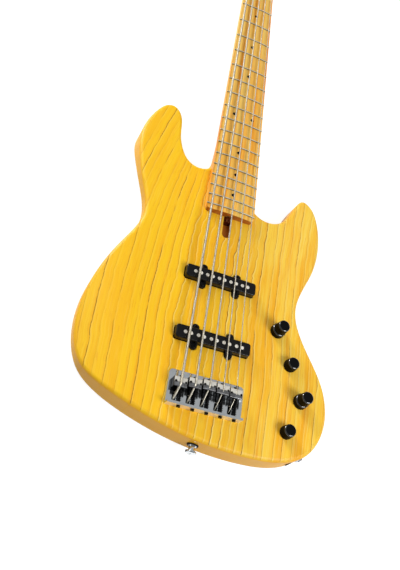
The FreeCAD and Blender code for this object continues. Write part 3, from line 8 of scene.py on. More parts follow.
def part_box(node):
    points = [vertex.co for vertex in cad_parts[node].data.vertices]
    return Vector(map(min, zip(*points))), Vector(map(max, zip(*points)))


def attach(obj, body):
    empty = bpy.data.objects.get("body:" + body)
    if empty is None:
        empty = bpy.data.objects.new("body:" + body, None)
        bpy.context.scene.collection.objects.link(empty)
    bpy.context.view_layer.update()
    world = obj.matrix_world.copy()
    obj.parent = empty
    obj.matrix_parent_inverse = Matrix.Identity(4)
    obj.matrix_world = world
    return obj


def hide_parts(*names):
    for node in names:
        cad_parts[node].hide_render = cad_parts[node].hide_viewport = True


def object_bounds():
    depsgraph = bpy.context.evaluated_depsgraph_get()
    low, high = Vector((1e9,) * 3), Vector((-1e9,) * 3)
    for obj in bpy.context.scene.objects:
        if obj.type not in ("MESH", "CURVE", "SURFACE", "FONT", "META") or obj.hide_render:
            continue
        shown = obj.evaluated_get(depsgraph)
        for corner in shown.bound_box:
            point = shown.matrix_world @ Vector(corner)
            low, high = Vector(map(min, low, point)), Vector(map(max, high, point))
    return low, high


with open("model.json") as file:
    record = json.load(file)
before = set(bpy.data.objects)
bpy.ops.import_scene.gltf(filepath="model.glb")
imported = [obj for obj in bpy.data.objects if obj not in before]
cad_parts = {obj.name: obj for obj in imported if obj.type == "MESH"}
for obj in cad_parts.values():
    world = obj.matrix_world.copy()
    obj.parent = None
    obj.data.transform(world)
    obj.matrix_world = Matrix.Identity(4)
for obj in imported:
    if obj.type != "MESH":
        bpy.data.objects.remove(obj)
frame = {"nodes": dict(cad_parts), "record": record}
nodes = frame["nodes"]
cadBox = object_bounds()
print("frame loaded:", len(nodes), "nodes")

perMetre = 1000.0                               # mm in a metre, for the grain of the wood
mergeGap = 1e-6                                 # points that are closer are one


# a socket that can stand in a sum; add() makes any other node, settings first
class Wire:
    def __init__(self, tree, socket=None):
        self.tree = tree
        self.socket = socket

    def add(self, kind, settings, sockets, out=0):
        node = self.tree.nodes.new(kind)
        for name, value in settings.items():
            setattr(node, name, value)
        for name, value in sockets.items():
            for end in value if isinstance(value, list) else [value]:
                if isinstance(end, Wire):
                    self.tree.links.new(end.socket, node.inputs[name])
                else:
                    node.inputs[name].default_value = end
        return Wire(self.tree, node.outputs[out]) if node.outputs else node

    def beside(self, out):                      # another output of the same node
        return Wire(self.tree, self.socket.node.outputs[out])

    def sum(self, operation, *terms):
        return self.add("ShaderNodeMath", {"operation": operation}, dict(enumerate(terms)))

    def __add__(self, other):
        return self.sum("ADD", self, other)

    def __sub__(self, other):
        return self.sum("SUBTRACT", self, other)

    def __rsub__(self, other):
        return self.sum("SUBTRACT", other, self)

    def __mul__(self, other):
        return self.sum("MULTIPLY", self, other)

    def __truediv__(self, other):
        return self.sum("DIVIDE", self, other)

    def __rtruediv__(self, other):
        return self.sum("DIVIDE", other, self)

    def __abs__(self):
        return self.sum("ABSOLUTE", self)

    __radd__ = __add__
    __rmul__ = __mul__


def tone(red, green, blue):                     # a screen colour, 0 to 255, as the shader wants it
    linear = []
    for part in (red / 255, green / 255, blue / 255):
        linear.append(part / 12.92 if part <= 0.04045 else ((part + 0.055) / 1.055) ** 2.4)
    return (*linear, 1.0)


def smooth(value, low, high):                   # 0 below low, 1 above high
    return value.add("ShaderNodeMapRange", {"interpolation_type": "SMOOTHSTEP"},
                     {"Value": value, "From Min": low, "From Max": high})


def held(value, low=0.0, high=1.0):
    return value.sum("MINIMUM", value.sum("MAXIMUM", value, low), high)


def length(x, y):
    square = x * x + y * y
    return square.sum("SQRT", square)


def blend(share, first, second):
    return share.add("ShaderNodeMix", {"data_type": "RGBA"}, {0: share, 6: first, 7: second}, 2)


def layered(colour, tones, layers):             # each layer's share of a tone over those before it
    for share, name in layers:
        colour = blend(share, colour, tones[name])
    return colour


def cloud(place, scale, detail=2.0, rough=0.5):
    return place.add("ShaderNodeTexNoise", {}, {"Vector": place, "Scale": scale, "Detail": detail,
                                                "Roughness": rough})


def mottled(place, scale):                      # smudges and haze
    return cloud(place, scale, 3.0, 0.6)


def brushed(place, scales, detail=2.0, rough=0.6):      # noise drawn out along one axis
    drawn = place.add("ShaderNodeVectorMath", {"operation": "MULTIPLY"}, {0: place, 1: scales})
    return cloud(drawn, 1.0, detail, rough)


def joined(x, y, z):
    return x.add("ShaderNodeCombineXYZ", {}, {0: x, 1: y, 2: z})


def grained(x, y, z, scales, detail, rough=0.5):        # noise on places in the wood
    across, along, deep = scales
    return cloud(joined(x * across, y * along, z * deep), 1.0, detail, rough)


def raised(height, distance, strength):
    return height.add("ShaderNodeBump", {},
                      {"Height": height, "Distance": distance, "Strength": strength})


def facing(place, axis):                        # how far a face looks along an axis, -1 to 1
    normal = place.add("ShaderNodeNewGeometry", {}, {}, "Normal")
    return normal.add("ShaderNodeSeparateXYZ", {}, {0: normal}, axis)


def startFinish(name):                          # a material and its object coordinates
    material = bpy.data.materials.new(name)
    material.use_nodes = True
    material.node_tree.nodes.clear()
    return material, Wire(material.node_tree).add("ShaderNodeTexCoord", {}, {}, "Object")


def parts(place):                               # x, y and z of a place
    x = place.add("ShaderNodeSeparateXYZ", {}, {0: place})
    return x, x.beside(1), x.beside(2)


def surface(place, **sockets):
    shader = place.add("ShaderNodeBsdfPrincipled", {}, {name.replace("_", " "): value
                                                        for name, value in sockets.items()})
    place.add("ShaderNodeOutputMaterial", {}, {"Surface": shader})


def each(prefix):                               # the nodes that are there once for each string
    return [f"{prefix}_{i}" for i in range(1, 6)]


# camera, floor and light

studio = {
    "eye": (-0.299368, -0.325351, 0.861858),
    "right": (0.9171523, 0.127249, 0.3776763),
    "up": (-0.2864159, 0.8694093, 0.4026083),
    "back": (-0.2771238, -0.4774256, 0.8338269),
    "lens": 46.3083,
    "sensor": 36.0,
    "nearest": 0.01,                            # the camera sees nothing closer
    "floorDrop": 0.0004,                        # below the lowest point of the instrument
    "floorSize": 14.0,
    "floorGlow": 0.86,                          # the rest of its white is lit, so the shadow stays
    "floorTone": 0.40,
    "floorGrain": 35.0,
    "floorMottle": 0.01,
    "white": (1, 1, 1, 1),
    "horizon": 0.85,                            # brightness of the room at the floor line
    "wall": 0.16,
    "wallRise": (0.05, 0.25),                   # where the horizon fades into the wall
    "ceiling": 0.44,
    "ceilingRise": (0.55, 0.78),
    "lamps": {                                  # place, aim, size in metres, power in watts
        "key_lamp": ((1.15, -0.82, 1.62), (0.0, 0.12, 0.0), 1.1, 29.0),
        "fill_lamp": ((-1.3, 1.5, 1.6), (0.0, 0.2, 0.0), 1.4, 8.0),
        "rim_lamp": ((-1.36, 1.65, 0.55), (0.1, 0.05, 0.05), 0.55, 30.0),
    },
}


def makeCamera():
    data = bpy.data.cameras.new("camera")
    data.lens = studio["lens"]
    data.sensor_width = studio["sensor"]
    data.clip_start = studio["nearest"]
    camera = bpy.data.objects.new("camera", data)
    bpy.context.scene.collection.objects.link(camera)
    axes = Matrix((studio["right"], studio["up"], studio["back"])).transposed()
    camera.matrix_world = Matrix.Translation(studio["eye"]) @ axes.to_4x4()
    bpy.context.scene.camera = camera


def cameraRay(start):
    return start.add("ShaderNodeLightPath", {}, {}, "Is Camera Ray")


def seenRay(start):                             # 1 where the camera looks, in mirrors and glass too
    ray = cameraRay(start)
    seen = ray.sum("MAXIMUM", ray, ray.beside("Is Glossy Ray"))
    return seen.sum("MAXIMUM", seen, ray.beside("Is Transmission Ray"))


def makeFloor():
    half = studio["floorSize"] / 2
    level = cadBox[0][2] - studio["floorDrop"]
    data = bpy.data.meshes.new("floor")
    corners = [(-half, -half, level), (half, -half, level), (half, half, level), (-half, half, level)]
    data.from_pydata(corners, [], [(0, 1, 2, 3)])
    floor = bpy.data.objects.new("floor", data)
    bpy.context.scene.collection.objects.link(floor)
    material, place = startFinish("pale_floor")
    grain = cloud(place, studio["floorGrain"])
    shade = held(studio["floorTone"] + (grain - 0.5) * studio["floorMottle"])
    lit = place.add("ShaderNodeBsdfDiffuse", {}, {"Color": joined(shade, shade, shade)})
    glow = place.add("ShaderNodeEmission", {}, {"Color": studio["white"],
                                                "Strength": seenRay(place) * studio["floorGlow"]})
    both = place.add("ShaderNodeAddShader", {}, {0: lit, 1: glow})
    place.add("ShaderNodeOutputMaterial", {}, {"Surface": both})
    data.materials.append(material)


def makeWorld():
    world = bpy.data.worlds.new("studio")
    world.use_nodes = True
    world.node_tree.nodes.clear()
    way = Wire(world.node_tree).add("ShaderNodeTexCoord", {}, {}, "Generated")
    rise = parts(way)[2]
    ray = cameraRay(way)
    horizon, wall, ceiling = studio["horizon"], studio["wall"], studio["ceiling"]
    dome = horizon + (wall - horizon) * smooth(rise, *studio["wallRise"])
    dome = dome + (ceiling - wall) * smooth(rise, *studio["ceilingRise"])
    level = ray + dome * (1 - ray)
    glow = way.add("ShaderNodeBackground", {}, {"Color": studio["white"], "Strength": level})
    way.add("ShaderNodeOutputWorld", {}, {"Surface": glow})
    bpy.context.scene.world = world


def makeLamps():
    for name, (place, aim, size, power) in studio["lamps"].items():
        data = bpy.data.lights.new(name, "AREA")
        data.shape = "DISK"
        data.size = size
        data.energy = power
        lamp = bpy.data.objects.new(name, data)
        bpy.context.scene.collection.objects.link(lamp)
        turn = (Vector(aim) - Vector(place)).to_track_quat("-Z", "Y")
        lamp.matrix_world = Matrix.Translation(place) @ turn.to_matrix().to_4x4()


makeCamera()
makeFloor()
makeWorld()
makeLamps()
bpy.context.scene.view_settings.view_transform = "Standard"
print("camera, floor and light made")


# ash body: lacquered yellow, with open grain that leans along the upper horn; sizes in mm

ash = {
    "sun": tone(255, 203, 24),
    "straw": tone(255, 218, 84),                # paler towards the treble side and its horn
    "honey": tone(251, 178, 14),
    "amber": tone(232, 140, 12),
    "groove": tone(122, 70, 2),
    # pale streaks, and the painted highlight on the ridge beside each groove
    "ridge": tone(255, 236, 142),
    "rim": tone(253, 182, 28),
    "slotShade": tone(10, 9, 8),                   # painted shade on the wood under the bridge, so the plate's slots look dark
    "slotShadeBox": (48.0, -29.0, 15.0),           # half width, rear and front
    "slotShadeLow": 15.0,                          # its lowest level
    "slotShadeEdge": 1.0,
    "routed": tone(172, 90, 8),                 # painted shade on the sides of the wheel's slot
    "routedBox": (9.0, 222.0, 268.0),
    "routedLow": 30.0,
    "routedHigh": 41.2,
    "routedEdge": 0.5,
    "routedBrow": 0.4,                          # width of its edge at the highest level
    "bassRamp": (30.0, -80.0),                  # where a side's look begins and is full
    "trebleRamp": (-40.0, 120.0),
    "strawRamp": (40.0, 240.0),                 # along the body
    "calmRamp": (-30.0, 40.0),                  # lines are straighter below the bridge
    "leanFrom": 60.0,                           # along the body, where the grain starts to lean
    "leanSpan": 500.0,
    "lean": 0.0004,
    "wide": 12.5,                               # between growth lines on the bass side
    "close": 10.5,                              # in the middle
    "mid": 13.5,                                # on the treble side
    "middle": (-62.0, 48.0),                    # edges of the middle
    "lowEdge": (-14.0, 10.0),                   # where its look begins and is full, from the edge
    "highEdge": (16.0, -8.0),
    "trebleSpan": 400.0,                        # from the middle past the edge of the body
    "seam": -62.0,                              # glue line between the boards
    "seamSlope": 0.09,
    "seamLevel": 70.0,                          # along the body, where the seam is at its place
    "sweepReach": 14.0,                         # how far a line strays
    "waveReach": (5.0, 9.0),                    # everywhere, and more in the middle
    "rippleReach": (1.4, 3.0),
    "grooveWidth": 0.80,
    "ridgeWidth": 3.2,
    "ridgeFrom": (0.2, 0.9),                    # from the growth line
    "lateFrom": (-4.5, -0.4),                   # darker wood before the line
    "lateTo": (0.3, -0.2),
    "otherRing": 37.5,                          # added to a ring for its second random value
    "grooveDepth": 0.0005,                      # in metres
}

ashNoise = {                                    # waves per mm across, along and through
    "sweep": (0.004, 0.0045, 0.004),
    "wave": (0.018, 0.030, 0.010),
    "ripple": (0.05, 0.09, 0.04),
    "dash": (7.3, 0.022, 0.02),                 # across is per growth ring
    "pore": (0.6, 0.22, 0.2),
    "vessel": (0.75, 0.05, 0.05),
    "band": (0.06, 0.006, 0.03),
    "streak": (0.33, 0.012, 0.08),
    "fine": (1.1, 0.018, 0.2),
    "fibre": (0.35, 0.35, 1.4),
}


def ringNoise(ring):                            # a random value for each growth ring
    return ring.add("ShaderNodeTexWhiteNoise", {"noise_dimensions": "1D"}, {"W": ring}, "Value")


def within(x, y, box, edge):                    # 1 in the box: half width, rear and front
    half, rear, ahead = box
    sides = smooth(abs(x), half, half - edge)
    return sides * smooth(y, rear, rear + edge) * smooth(y, ahead, ahead - edge)


def ashFinish():
    material, place = startFinish("ash")
    x, y, z = [part * perMetre for part in parts(place)]
    bass = smooth(x, *ash["bassRamp"])
    treble = smooth(x, *ash["trebleRamp"])
    rise = held(y - ash["leanFrom"], 0.0, ash["leanSpan"])
    u = x - rise * rise * ash["lean"] * (0.25 + 0.75 * bass)
    low, high = ash["middle"]
    centre = smooth(u, *[low + edge for edge in ash["lowEdge"]])
    centre = centre * smooth(u, *[high + edge for edge in ash["highEdge"]])
    sweep = grained(u, y, z, ashNoise["sweep"], 1.0)
    wave = grained(u, y, z, ashNoise["wave"], 2.0)
    ripple = grained(u, y, z, ashNoise["ripple"], 2.0, 0.6)
    calm = 0.45 + 0.55 * smooth(y, *ash["calmRamp"])
    v = u + (sweep - 0.5) * ash["sweepReach"]
    for noise, (reach, more) in ((wave, ash["waveReach"]), (ripple, ash["rippleReach"])):
        v = v + (noise - 0.5) * (reach + more * centre) * calm
    # growth lines: their count, and the distance in mm from a ring's own line
    step = 1 / ash["wide"]
    gain = 1 / ash["close"] - step
    loss = 1 / ash["mid"] - 1 / ash["close"]
    count = v * step + held(v - low, 0.0, high - low) * gain
    count = count + held(v - high, 0.0, ash["trebleSpan"]) * (gain + loss)
    pace = step + smooth(v, low - 1.0, low + 1.0) * gain + smooth(v, high - 1.0, high + 1.0) * loss
    ring = count.sum("FLOOR", count)
    own, other = ringNoise(ring), ringNoise(ring + ash["otherRing"])
    across = (count - ring - 0.25 - 0.5 * other) / pace
    dash = grained(ring, y, z, ashNoise["dash"], 2.0, 0.6)
    strong = smooth(dash, 0.27, 0.51) * (0.14 + 0.30 * own + 0.52 * own * own)
    pore = 0.55 + 0.45 * smooth(grained(v, y, z, ashNoise["pore"], 1.0), 0.30, 0.50)
    width = ash["grooveWidth"] * (0.55 + 0.45 * strong)
    groove = (1 - smooth(abs(across) / width, 0.2, 1.0)) * strong * pore
    # the ridge beside each groove: a raised bump, and a painted highlight in the colour
    ridge = smooth(across, ash["ridgeWidth"], ash["ridgeFrom"][1]) * smooth(across, *ash["ridgeFrom"])
    ridge = ridge * (0.25 + 0.75 * strong)
    ridge = ridge * (0.22 + 0.78 * held(centre + 0.6 * treble))
    late = smooth(across, *ash["lateFrom"]) * smooth(across, *ash["lateTo"]) * (0.3 + 0.7 * strong)
    # colour between the lines
    vessel = smooth(grained(v, y, z, ashNoise["vessel"], 1.0), 0.64, 0.74)
    band = grained(v, y, z, ashNoise["band"], 3.0, 0.6)
    streak = grained(v, y, z, ashNoise["streak"], 2.0, 0.6)
    fine = grained(v, y, z, ashNoise["fine"], 2.0, 0.6)
    fibre = grained(x, y, z, ashNoise["fibre"], 3.0, 0.6)
    flat = smooth(abs(facing(place, 2)), 0.25, 0.8)
    seam = smooth(x - ash["seamSlope"] * (y - ash["seamLevel"]) - ash["seam"], -0.5, 0.5)
    honey = 0.16 * seam + smooth(band, 0.38, 0.68) * (0.40 + 0.30 * treble + 0.10 * centre)
    low, high, brow = ash["routedLow"], ash["routedHigh"], ash["routedBrow"]
    # painted shade: the wood under the bridge plate darkened
    slotShade = within(x, y, ash["slotShadeBox"], ash["slotShadeEdge"])
    slotShade = slotShade * smooth(z, ash["slotShadeLow"], ash["slotShadeLow"] + ash["slotShadeEdge"])
    # painted shade on the sides of the wheel's slot
    routed = within(x, y, ash["routedBox"], ash["routedEdge"])
    routed = routed * smooth(z, low, low + ash["routedEdge"]) * smooth(z, high, high - brow)
    colour = blend(treble * (0.60 + 0.40 * smooth(y, *ash["strawRamp"])), ash["sun"], ash["straw"])
    colour = layered(colour, ash, [
        (held(honey), "honey"),
        (smooth(streak, 0.50, 0.78) * (0.14 + 0.36 * treble) * flat, "amber"),
        (smooth(fine, 0.52, 0.74) * (0.14 + 0.22 * treble) * flat, "amber"),
        (smooth(fine, 0.46, 0.28) * (0.12 + 0.28 * treble) * flat, "ridge"),
        (late * 0.34 * flat, "amber"),
        (ridge * 0.80 * flat, "ridge"),
        (vessel * 0.28 * flat, "amber"),
        (groove * 0.95 * flat, "groove"),
        ((1 - flat) * (0.72 + 0.25 * fibre), "rim"),
        (slotShade, "slotShade"),
        (routed * (0.85 + 0.15 * fibre), "routed"),
    ])
    height = (ridge * 0.3 - groove - vessel * 0.2) * flat
    surface(place, Base_Color=colour, Roughness=0.42 + 0.10 * band + 0.15 * groove,
            Specular_IOR_Level=0.28, Normal=raised(height, ash["grooveDepth"], 0.6),
            Coat_Weight=0.06, Coat_Roughness=0.3)
    return material


# maple neck and fingerboard

maple = {
    "pale": tone(255, 214, 112),
    "warm": tone(255, 182, 60),
    "streak": tone(232, 132, 20),
    # the end face towards the tail: end grain, darkened further with painted shade
    "end": tone(158, 72, 4),
    "fleck": tone(150, 92, 34),
    "wander": 14.0,                             # mm that a line strays
    "lineDepth": 0.00005,
    "neckOffset": 0.0,                          # mm, so that the two pieces differ
    "boardOffset": 37.0,
}

mapleNoise = {                                  # waves per mm across, along and through
    "wander": (0.02, 0.006, 0.02),
    "broad": (0.13, 0.003, 0.10),
    "fine": (0.9, 0.010, 0.8),
    "curl": (0.05, 0.12, 0.05),
    "ray": (1.6, 0.20, 1.6),
}


def mapleFinish(name, offset):
    material, place = startFinish(name)
    x, y, z = [part * perMetre for part in parts(place)]
    x = x + offset
    wander = grained(x, y, z, mapleNoise["wander"], 1.0)
    u = x + (wander - 0.5) * maple["wander"]
    broad = grained(u, y, z, mapleNoise["broad"], 3.0, 0.6)
    fine = grained(u, y, z, mapleNoise["fine"], 2.0, 0.6)
    curl = grained(u, y, z, mapleNoise["curl"], 1.0)
    ray = grained(u, y, z, mapleNoise["ray"], 1.0)
    # painted shade, with end grain, on the faces that look towards the tail
    end = smooth(facing(place, 1), -0.55, -0.9)
    colour = layered(maple["pale"], maple, [
        (smooth(broad, 0.34, 0.66), "warm"),
        (smooth(broad, 0.52, 0.70) * 0.70, "streak"),
        (smooth(fine, 0.46, 0.76) * 0.60, "streak"),
        (smooth(curl, 0.5, 0.8) * 0.18, "pale"),
        (smooth(ray, 0.70, 0.78) * 0.35, "fleck"),
        (end * 0.85, "end"),
    ])
    surface(place, Base_Color=colour, Roughness=0.34 + 0.14 * fine, Specular_IOR_Level=0.20,
            Normal=raised(fine, maple["lineDepth"], 0.5), Coat_Weight=0.04, Coat_Roughness=0.2)
    return material


# metals

metal = {
    "chrome": tone(222, 228, 232),
    "chromeSmudge": tone(200, 206, 210),
    # painted highlight on the saddle tops
    "saddleLitTop": tone(240, 236, 224),
    "saddleShadedRear": tone(96, 96, 97),             # painted shade on its sloping rear half
    # painted shade on the saddles' sides
    "saddleShadedSide": tone(40, 40, 41),
    "saddleTurn": (-0.0012, 0.0004),            # where the rear half meets the front, from the middle
    "saddleRagged": 0.004,
    "grub": tone(14, 14, 15),                   # height screws in the saddles
    "grubSpread": 0.0066,
    "grubRadius": 0.00155,
    "wallBackGlare": tone(246, 236, 208),            # painted reflection on the bridge's rear wall, seen from behind
    "plateShade": tone(16, 16, 17),             # painted shadow and reflection of the saddles' dark backs on the plate
    "shadeReach": 0.0095,
    "shadeSide": 0.0006,                        # widths of the shade's edges: sides, rear and front
    "shadeRear": 0.002,
    "shadeFront": 0.004,
    "shadeRagged": 0.006,
    "steel": tone(186, 186, 188),
    "steelDull": tone(136, 135, 134),
    "fret": tone(250, 240, 212),
    # painted shade on the flanks, also the tone of the grime
    "fretShadeAndGrime": tone(92, 74, 44),
    "wheel": tone(112, 66, 38),
    "wheelDull": tone(62, 34, 18),
    "pole": tone(252, 248, 236),
    "poleDull": tone(214, 206, 190),
    "alloy": tone(212, 214, 216),
    "nickel": tone(238, 231, 212),
    # darker tone for grime, the grooves between turns and the painted shade on the sides
    "nickelDark": tone(104, 95, 78),
    "dark": tone(30, 30, 32),
    "darkWorn": tone(58, 57, 56),
    "smudge": 90.0,                             # patches per metre, and lines along each axis
    "spots": 900.0,
    "saddleSmudge": 140.0,
    "fretGrime": 220.0,
    "windingGrime": 160.0,
    "saddleHair": (500.0, 1500.0, 900.0),
    "bridgeHair": (900.0, 300.0, 900.0),
    "bridgeRagged": (900.0, 260.0, 100.0),
    "buttonHair": (300.0, 2400.0, 300.0),
    "fretHair": (200.0, 1800.0, 1800.0),
    "scratchDepth": 0.00002,
    "windingDepth": 0.00006,
    "windingSlant": 40.0,
}

plates = {                                      # tones, roughness, scratches, grain, metal, nodes
    "chrome": ("chrome", "chromeSmudge", 0.05, 0.03, (500.0, 500.0, 900.0), 1.0,
               ["wood_screws", "bridge_screws", "neck_screws", "strap_button_screws",
                "body_ferrules", "output_jack", "tuner_bushings", "string_retainer"]),
    "plain_steel": ("steel", "steelDull", 0.22, 0.12, (300.0, 1800.0, 1800.0), 1.0,
                    ["potentiometers", "truss_rod"]),
    "bronzed_wheel": ("wheel", "wheelDull", 0.26, 0.1, (900.0, 200.0, 900.0), 1.0,
                      ["truss_rod_wheel"]),
    "ground_pole": ("pole", "poleDull", 0.40, 0.15, (900.0, 900.0, 900.0), 0.35,
                    ["pickup_poles"]),
    "blackened_steel": ("dark", "darkWorn", 0.28, 0.10, (700.0, 700.0, 700.0), 1.0,
                        ["saddle_springs", "pickup_screws", *each("intonation_screw")]),
    "polished_alloy": ("alloy", "steel", 0.10, 0.06, (900.0, 400.0, 900.0), 1.0,
                       ["tuner_housings", *each("tuner_key")]),
}

windings = {                                    # tones, pitch, metal, nodes
    "wound_nickel": ("nickel", "nickelDark", 0.0005, 0.7, ["strings"]),
    "post_nickel": ("chrome", "nickelDark", 0.0011, 1.0, each("tuner_post")),
}


def plateFinish(name, bright, dull, rough, scratch, grain, shine):
    material, place = startFinish(name)
    smudge = mottled(place, metal["smudge"])
    hair = brushed(place, grain)
    spot = cloud(place, metal["spots"], 1.0)
    wear = smooth(smudge, 0.45, 0.75)
    colour = blend(wear * 0.6 + smooth(spot, 0.68, 0.8) * 0.25, metal[bright], metal[dull])
    surface(place, Base_Color=colour, Metallic=shine, Roughness=rough + 0.10 * wear + scratch * hair,
            Normal=raised(hair, metal["scratchDepth"], scratch * 3.0))
    return material


def saddleFinish(name):                         # plated block with two dark grub screws, a painted highlight on its top and painted shade on its sides and rear half
    material, place = startFinish(name + "_plate")
    low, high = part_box(name)
    x, y = parts(place)[:2]
    x, y = abs(x - (low[0] + high[0]) / 2) - metal["grubSpread"], y - (low[1] + high[1]) / 2
    radius = metal["grubRadius"]
    grub = smooth(length(x, y), radius * 1.04, radius * 0.98)
    smudge = mottled(place, metal["saddleSmudge"])
    hair = brushed(place, metal["saddleHair"])
    top = smooth(facing(place, 2), 0.35, 0.75)
    front = smooth(y + (smudge - 0.5) * metal["saddleRagged"], *metal["saddleTurn"])
    # the top gets a painted highlight, its rear half and the sides painted shade
    upper = blend(front, metal["saddleShadedRear"], metal["saddleLitTop"])
    colour = layered(blend(top, metal["saddleShadedSide"], upper), metal, [
        (smooth(smudge, 0.45, 0.75) * 0.4 * top, "chromeSmudge"),
        (grub * top, "grub"),
    ])
    surface(place, Base_Color=colour, Metallic=1.0 - 0.5 * top,
            Roughness=0.14 + 0.10 * smudge + 0.25 * grub,
            Normal=raised(hair, metal["scratchDepth"], 0.15))
    return material


def bridgeFinish():                             # painted shade behind each saddle, a pale painted reflection on the wall's back
    material, place = startFinish("bridge_chrome")
    x, y = parts(place)[:2]
    smudge = mottled(place, metal["smudge"])
    hair = brushed(place, metal["bridgeHair"])
    ragged = (brushed(place, metal["bridgeRagged"]) - 0.5) * metal["shadeRagged"]
    side, behind, ahead = metal["shadeSide"], metal["shadeRear"], metal["shadeFront"]
    shades = []
    for name in each("saddle"):
        low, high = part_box(name)
        inside = smooth(x, low[0] - side, low[0]) * smooth(x, high[0] + side, high[0])
        rear = low[1] - metal["shadeReach"] + ragged
        shades.append(inside * smooth(y, rear, rear + behind) * smooth(y, high[1], high[1] - ahead))
    # painted reflection on the faces that look towards the tail
    back = smooth(facing(place, 1), -0.5, -0.8)
    flat = smooth(facing(place, 2), 0.6, 0.9)
    colour = layered(metal["chrome"], metal, [
        (smooth(smudge, 0.45, 0.75) * 0.5, "chromeSmudge"),
        (held(sum(shades)) * flat * 0.96, "plateShade"),
        (back, "wallBackGlare"),
    ])
    surface(place, Base_Color=colour, Metallic=1.0 - 0.55 * back,
            Roughness=0.06 + 0.08 * smudge + 0.2 * back,
            Normal=raised(hair, metal["scratchDepth"], 0.1))
    return material


def buttonFinish():                             # turned chrome, with a painted dark reflection on its flanks
    material, place = startFinish("button_chrome")
    smudge = mottled(place, metal["smudge"])
    turned = brushed(place, metal["buttonHair"])
    # painted reflection: the flanks darkened
    flank = smooth(abs(facing(place, 2)), 0.62, 0.30) * smooth(abs(facing(place, 1)), 0.85, 0.60)
    colour = layered(metal["chrome"], metal, [
        (smooth(smudge, 0.45, 0.75) * 0.6, "chromeSmudge"),
        (flank * 0.9, "dark"),
    ])
    surface(place, Base_Color=colour, Metallic=1.0, Roughness=0.06 + 0.08 * smudge,
            Normal=raised(turned, metal["scratchDepth"], 0.2))
    return material


def fretFinish():                               # polished crown; painted shade on the flanks, with some grime
    material, place = startFinish("fret_wire")
    foot = smooth(abs(facing(place, 1)), 0.30, 0.75)
    hair = brushed(place, metal["fretHair"])
    grime = mottled(place, metal["fretGrime"])
    # painted shade on the flanks, plus some grime
    flankShadeAndGrime = held(foot * 0.9 + 0.25 * smooth(grime, 0.5, 0.75))
    colour = blend(flankShadeAndGrime, metal["fret"], metal["fretShadeAndGrime"])
    surface(place, Base_Color=colour, Metallic=0.6, Roughness=0.22 + 0.12 * hair + 0.2 * foot,
            Normal=raised(hair, metal["scratchDepth"], 0.2))
    return material


def woundFinish(name, bright, dark, pitch, shine):
    material, place = startFinish(name)
    x, y = parts(place)[:2]
    turn = y * (math.tau / pitch) + x * (metal["windingSlant"] / pitch)
    turn = turn.sum("SINE", turn)
    grime = mottled(place, metal["windingGrime"])
    low = smooth(turn, 0.2, -0.9)
    # painted shade on the sides; also darker in the grooves between turns and with grime
    edge = smooth(abs(facing(place, 0)), 0.45, 0.85)
    dim = held(low * 0.35 + smooth(grime, 0.5, 0.75) * 0.25 + edge * 0.7)
    colour = blend(dim, metal[bright], metal[dark])
    surface(place, Base_Color=colour, Metallic=shine, Roughness=0.26 + 0.16 * grime + 0.1 * low,
            Normal=raised(turn, metal["windingDepth"], 0.6))
    return material


# plastics and small parts

plastic = {
    "black": tone(7, 7, 8),
    "blackWorn": tone(20, 20, 21),
    "matte": tone(22, 22, 24),
    "matteWorn": tone(40, 39, 40),
    "haze": 60.0,                               # patches per metre
    "scuff": (260.0, 900.0, 260.0),             # lines per metre along each axis
    "pebbleDepth": 0.00003,
    "knob": tone(5, 5, 6),
    # the flat top, a little lighter: satin finish and a painted sheen
    "knobTop": tone(17, 17, 18),
    "knobHaze": 120.0,
    "knobPebble": 1600.0,
    "knobRing": 0.00045,                        # between the turned rings
    "knobRingDepth": 0.00001,
    "knobTopFrom": 0.0008,                      # below the top, where the rings fade in
    "knobTopFull": 0.0001,
    "bone": tone(236, 226, 200),
    "boneDark": tone(208, 192, 154),
    "vein": (120.0, 900.0, 420.0),
    "veinDepth": 0.00002,
    "tape": tone(66, 40, 30),
    "tapeLine": tone(38, 22, 17),
    "tapeLayer": 0.0031,                        # height of a layer
    "thread": (300.0, 300.0, 4200.0),
    "threadDepth": 0.00004,
    "board": tone(20, 84, 44),
    "track": tone(54, 132, 72),
    "trackScale": 260.0,
    "trackDepth": 0.00004,
    "pad": tone(196, 178, 120),
    "cell": tone(50, 50, 54),
    "cellBand": tone(170, 120, 60),
    "cellBandFrom": (0.72, 0.73),               # shares of its length
    "crease": (40.0, 260.0, 260.0),
    "creaseDepth": 0.00008,
}

mouldings = {                                   # tones, roughness, pebbles per metre, shine, nodes
    "black_gloss": ("black", "blackWorn", 0.14, 1100.0, 0.30,
                    ["neck_pickup_cover", "bridge_pickup_cover", "position_dots"]),
    "black_matte": ("matte", "matteWorn", 0.45, 1400.0, 0.40,
                    ["control_cover", "wiring", "jack_plate"]),
}


def mouldedFinish(name, base, worn, rough, pitch, shine):
    material, place = startFinish(name)
    pebble = cloud(place, pitch, 2.0, 0.6)
    haze = mottled(place, plastic["haze"])
    scuff = brushed(place, plastic["scuff"], 3.0, 0.7)
    wear = smooth(scuff, 0.62, 0.80) * smooth(haze, 0.4, 0.7)
    colour = blend(held(wear * 0.6 + 0.25 * haze), plastic[base], plastic[worn])
    surface(place, Base_Color=colour, Roughness=rough + 0.10 * haze + 0.18 * wear,
            Specular_IOR_Level=shine, Normal=raised(pebble, plastic["pebbleDepth"], 0.3))
    return material


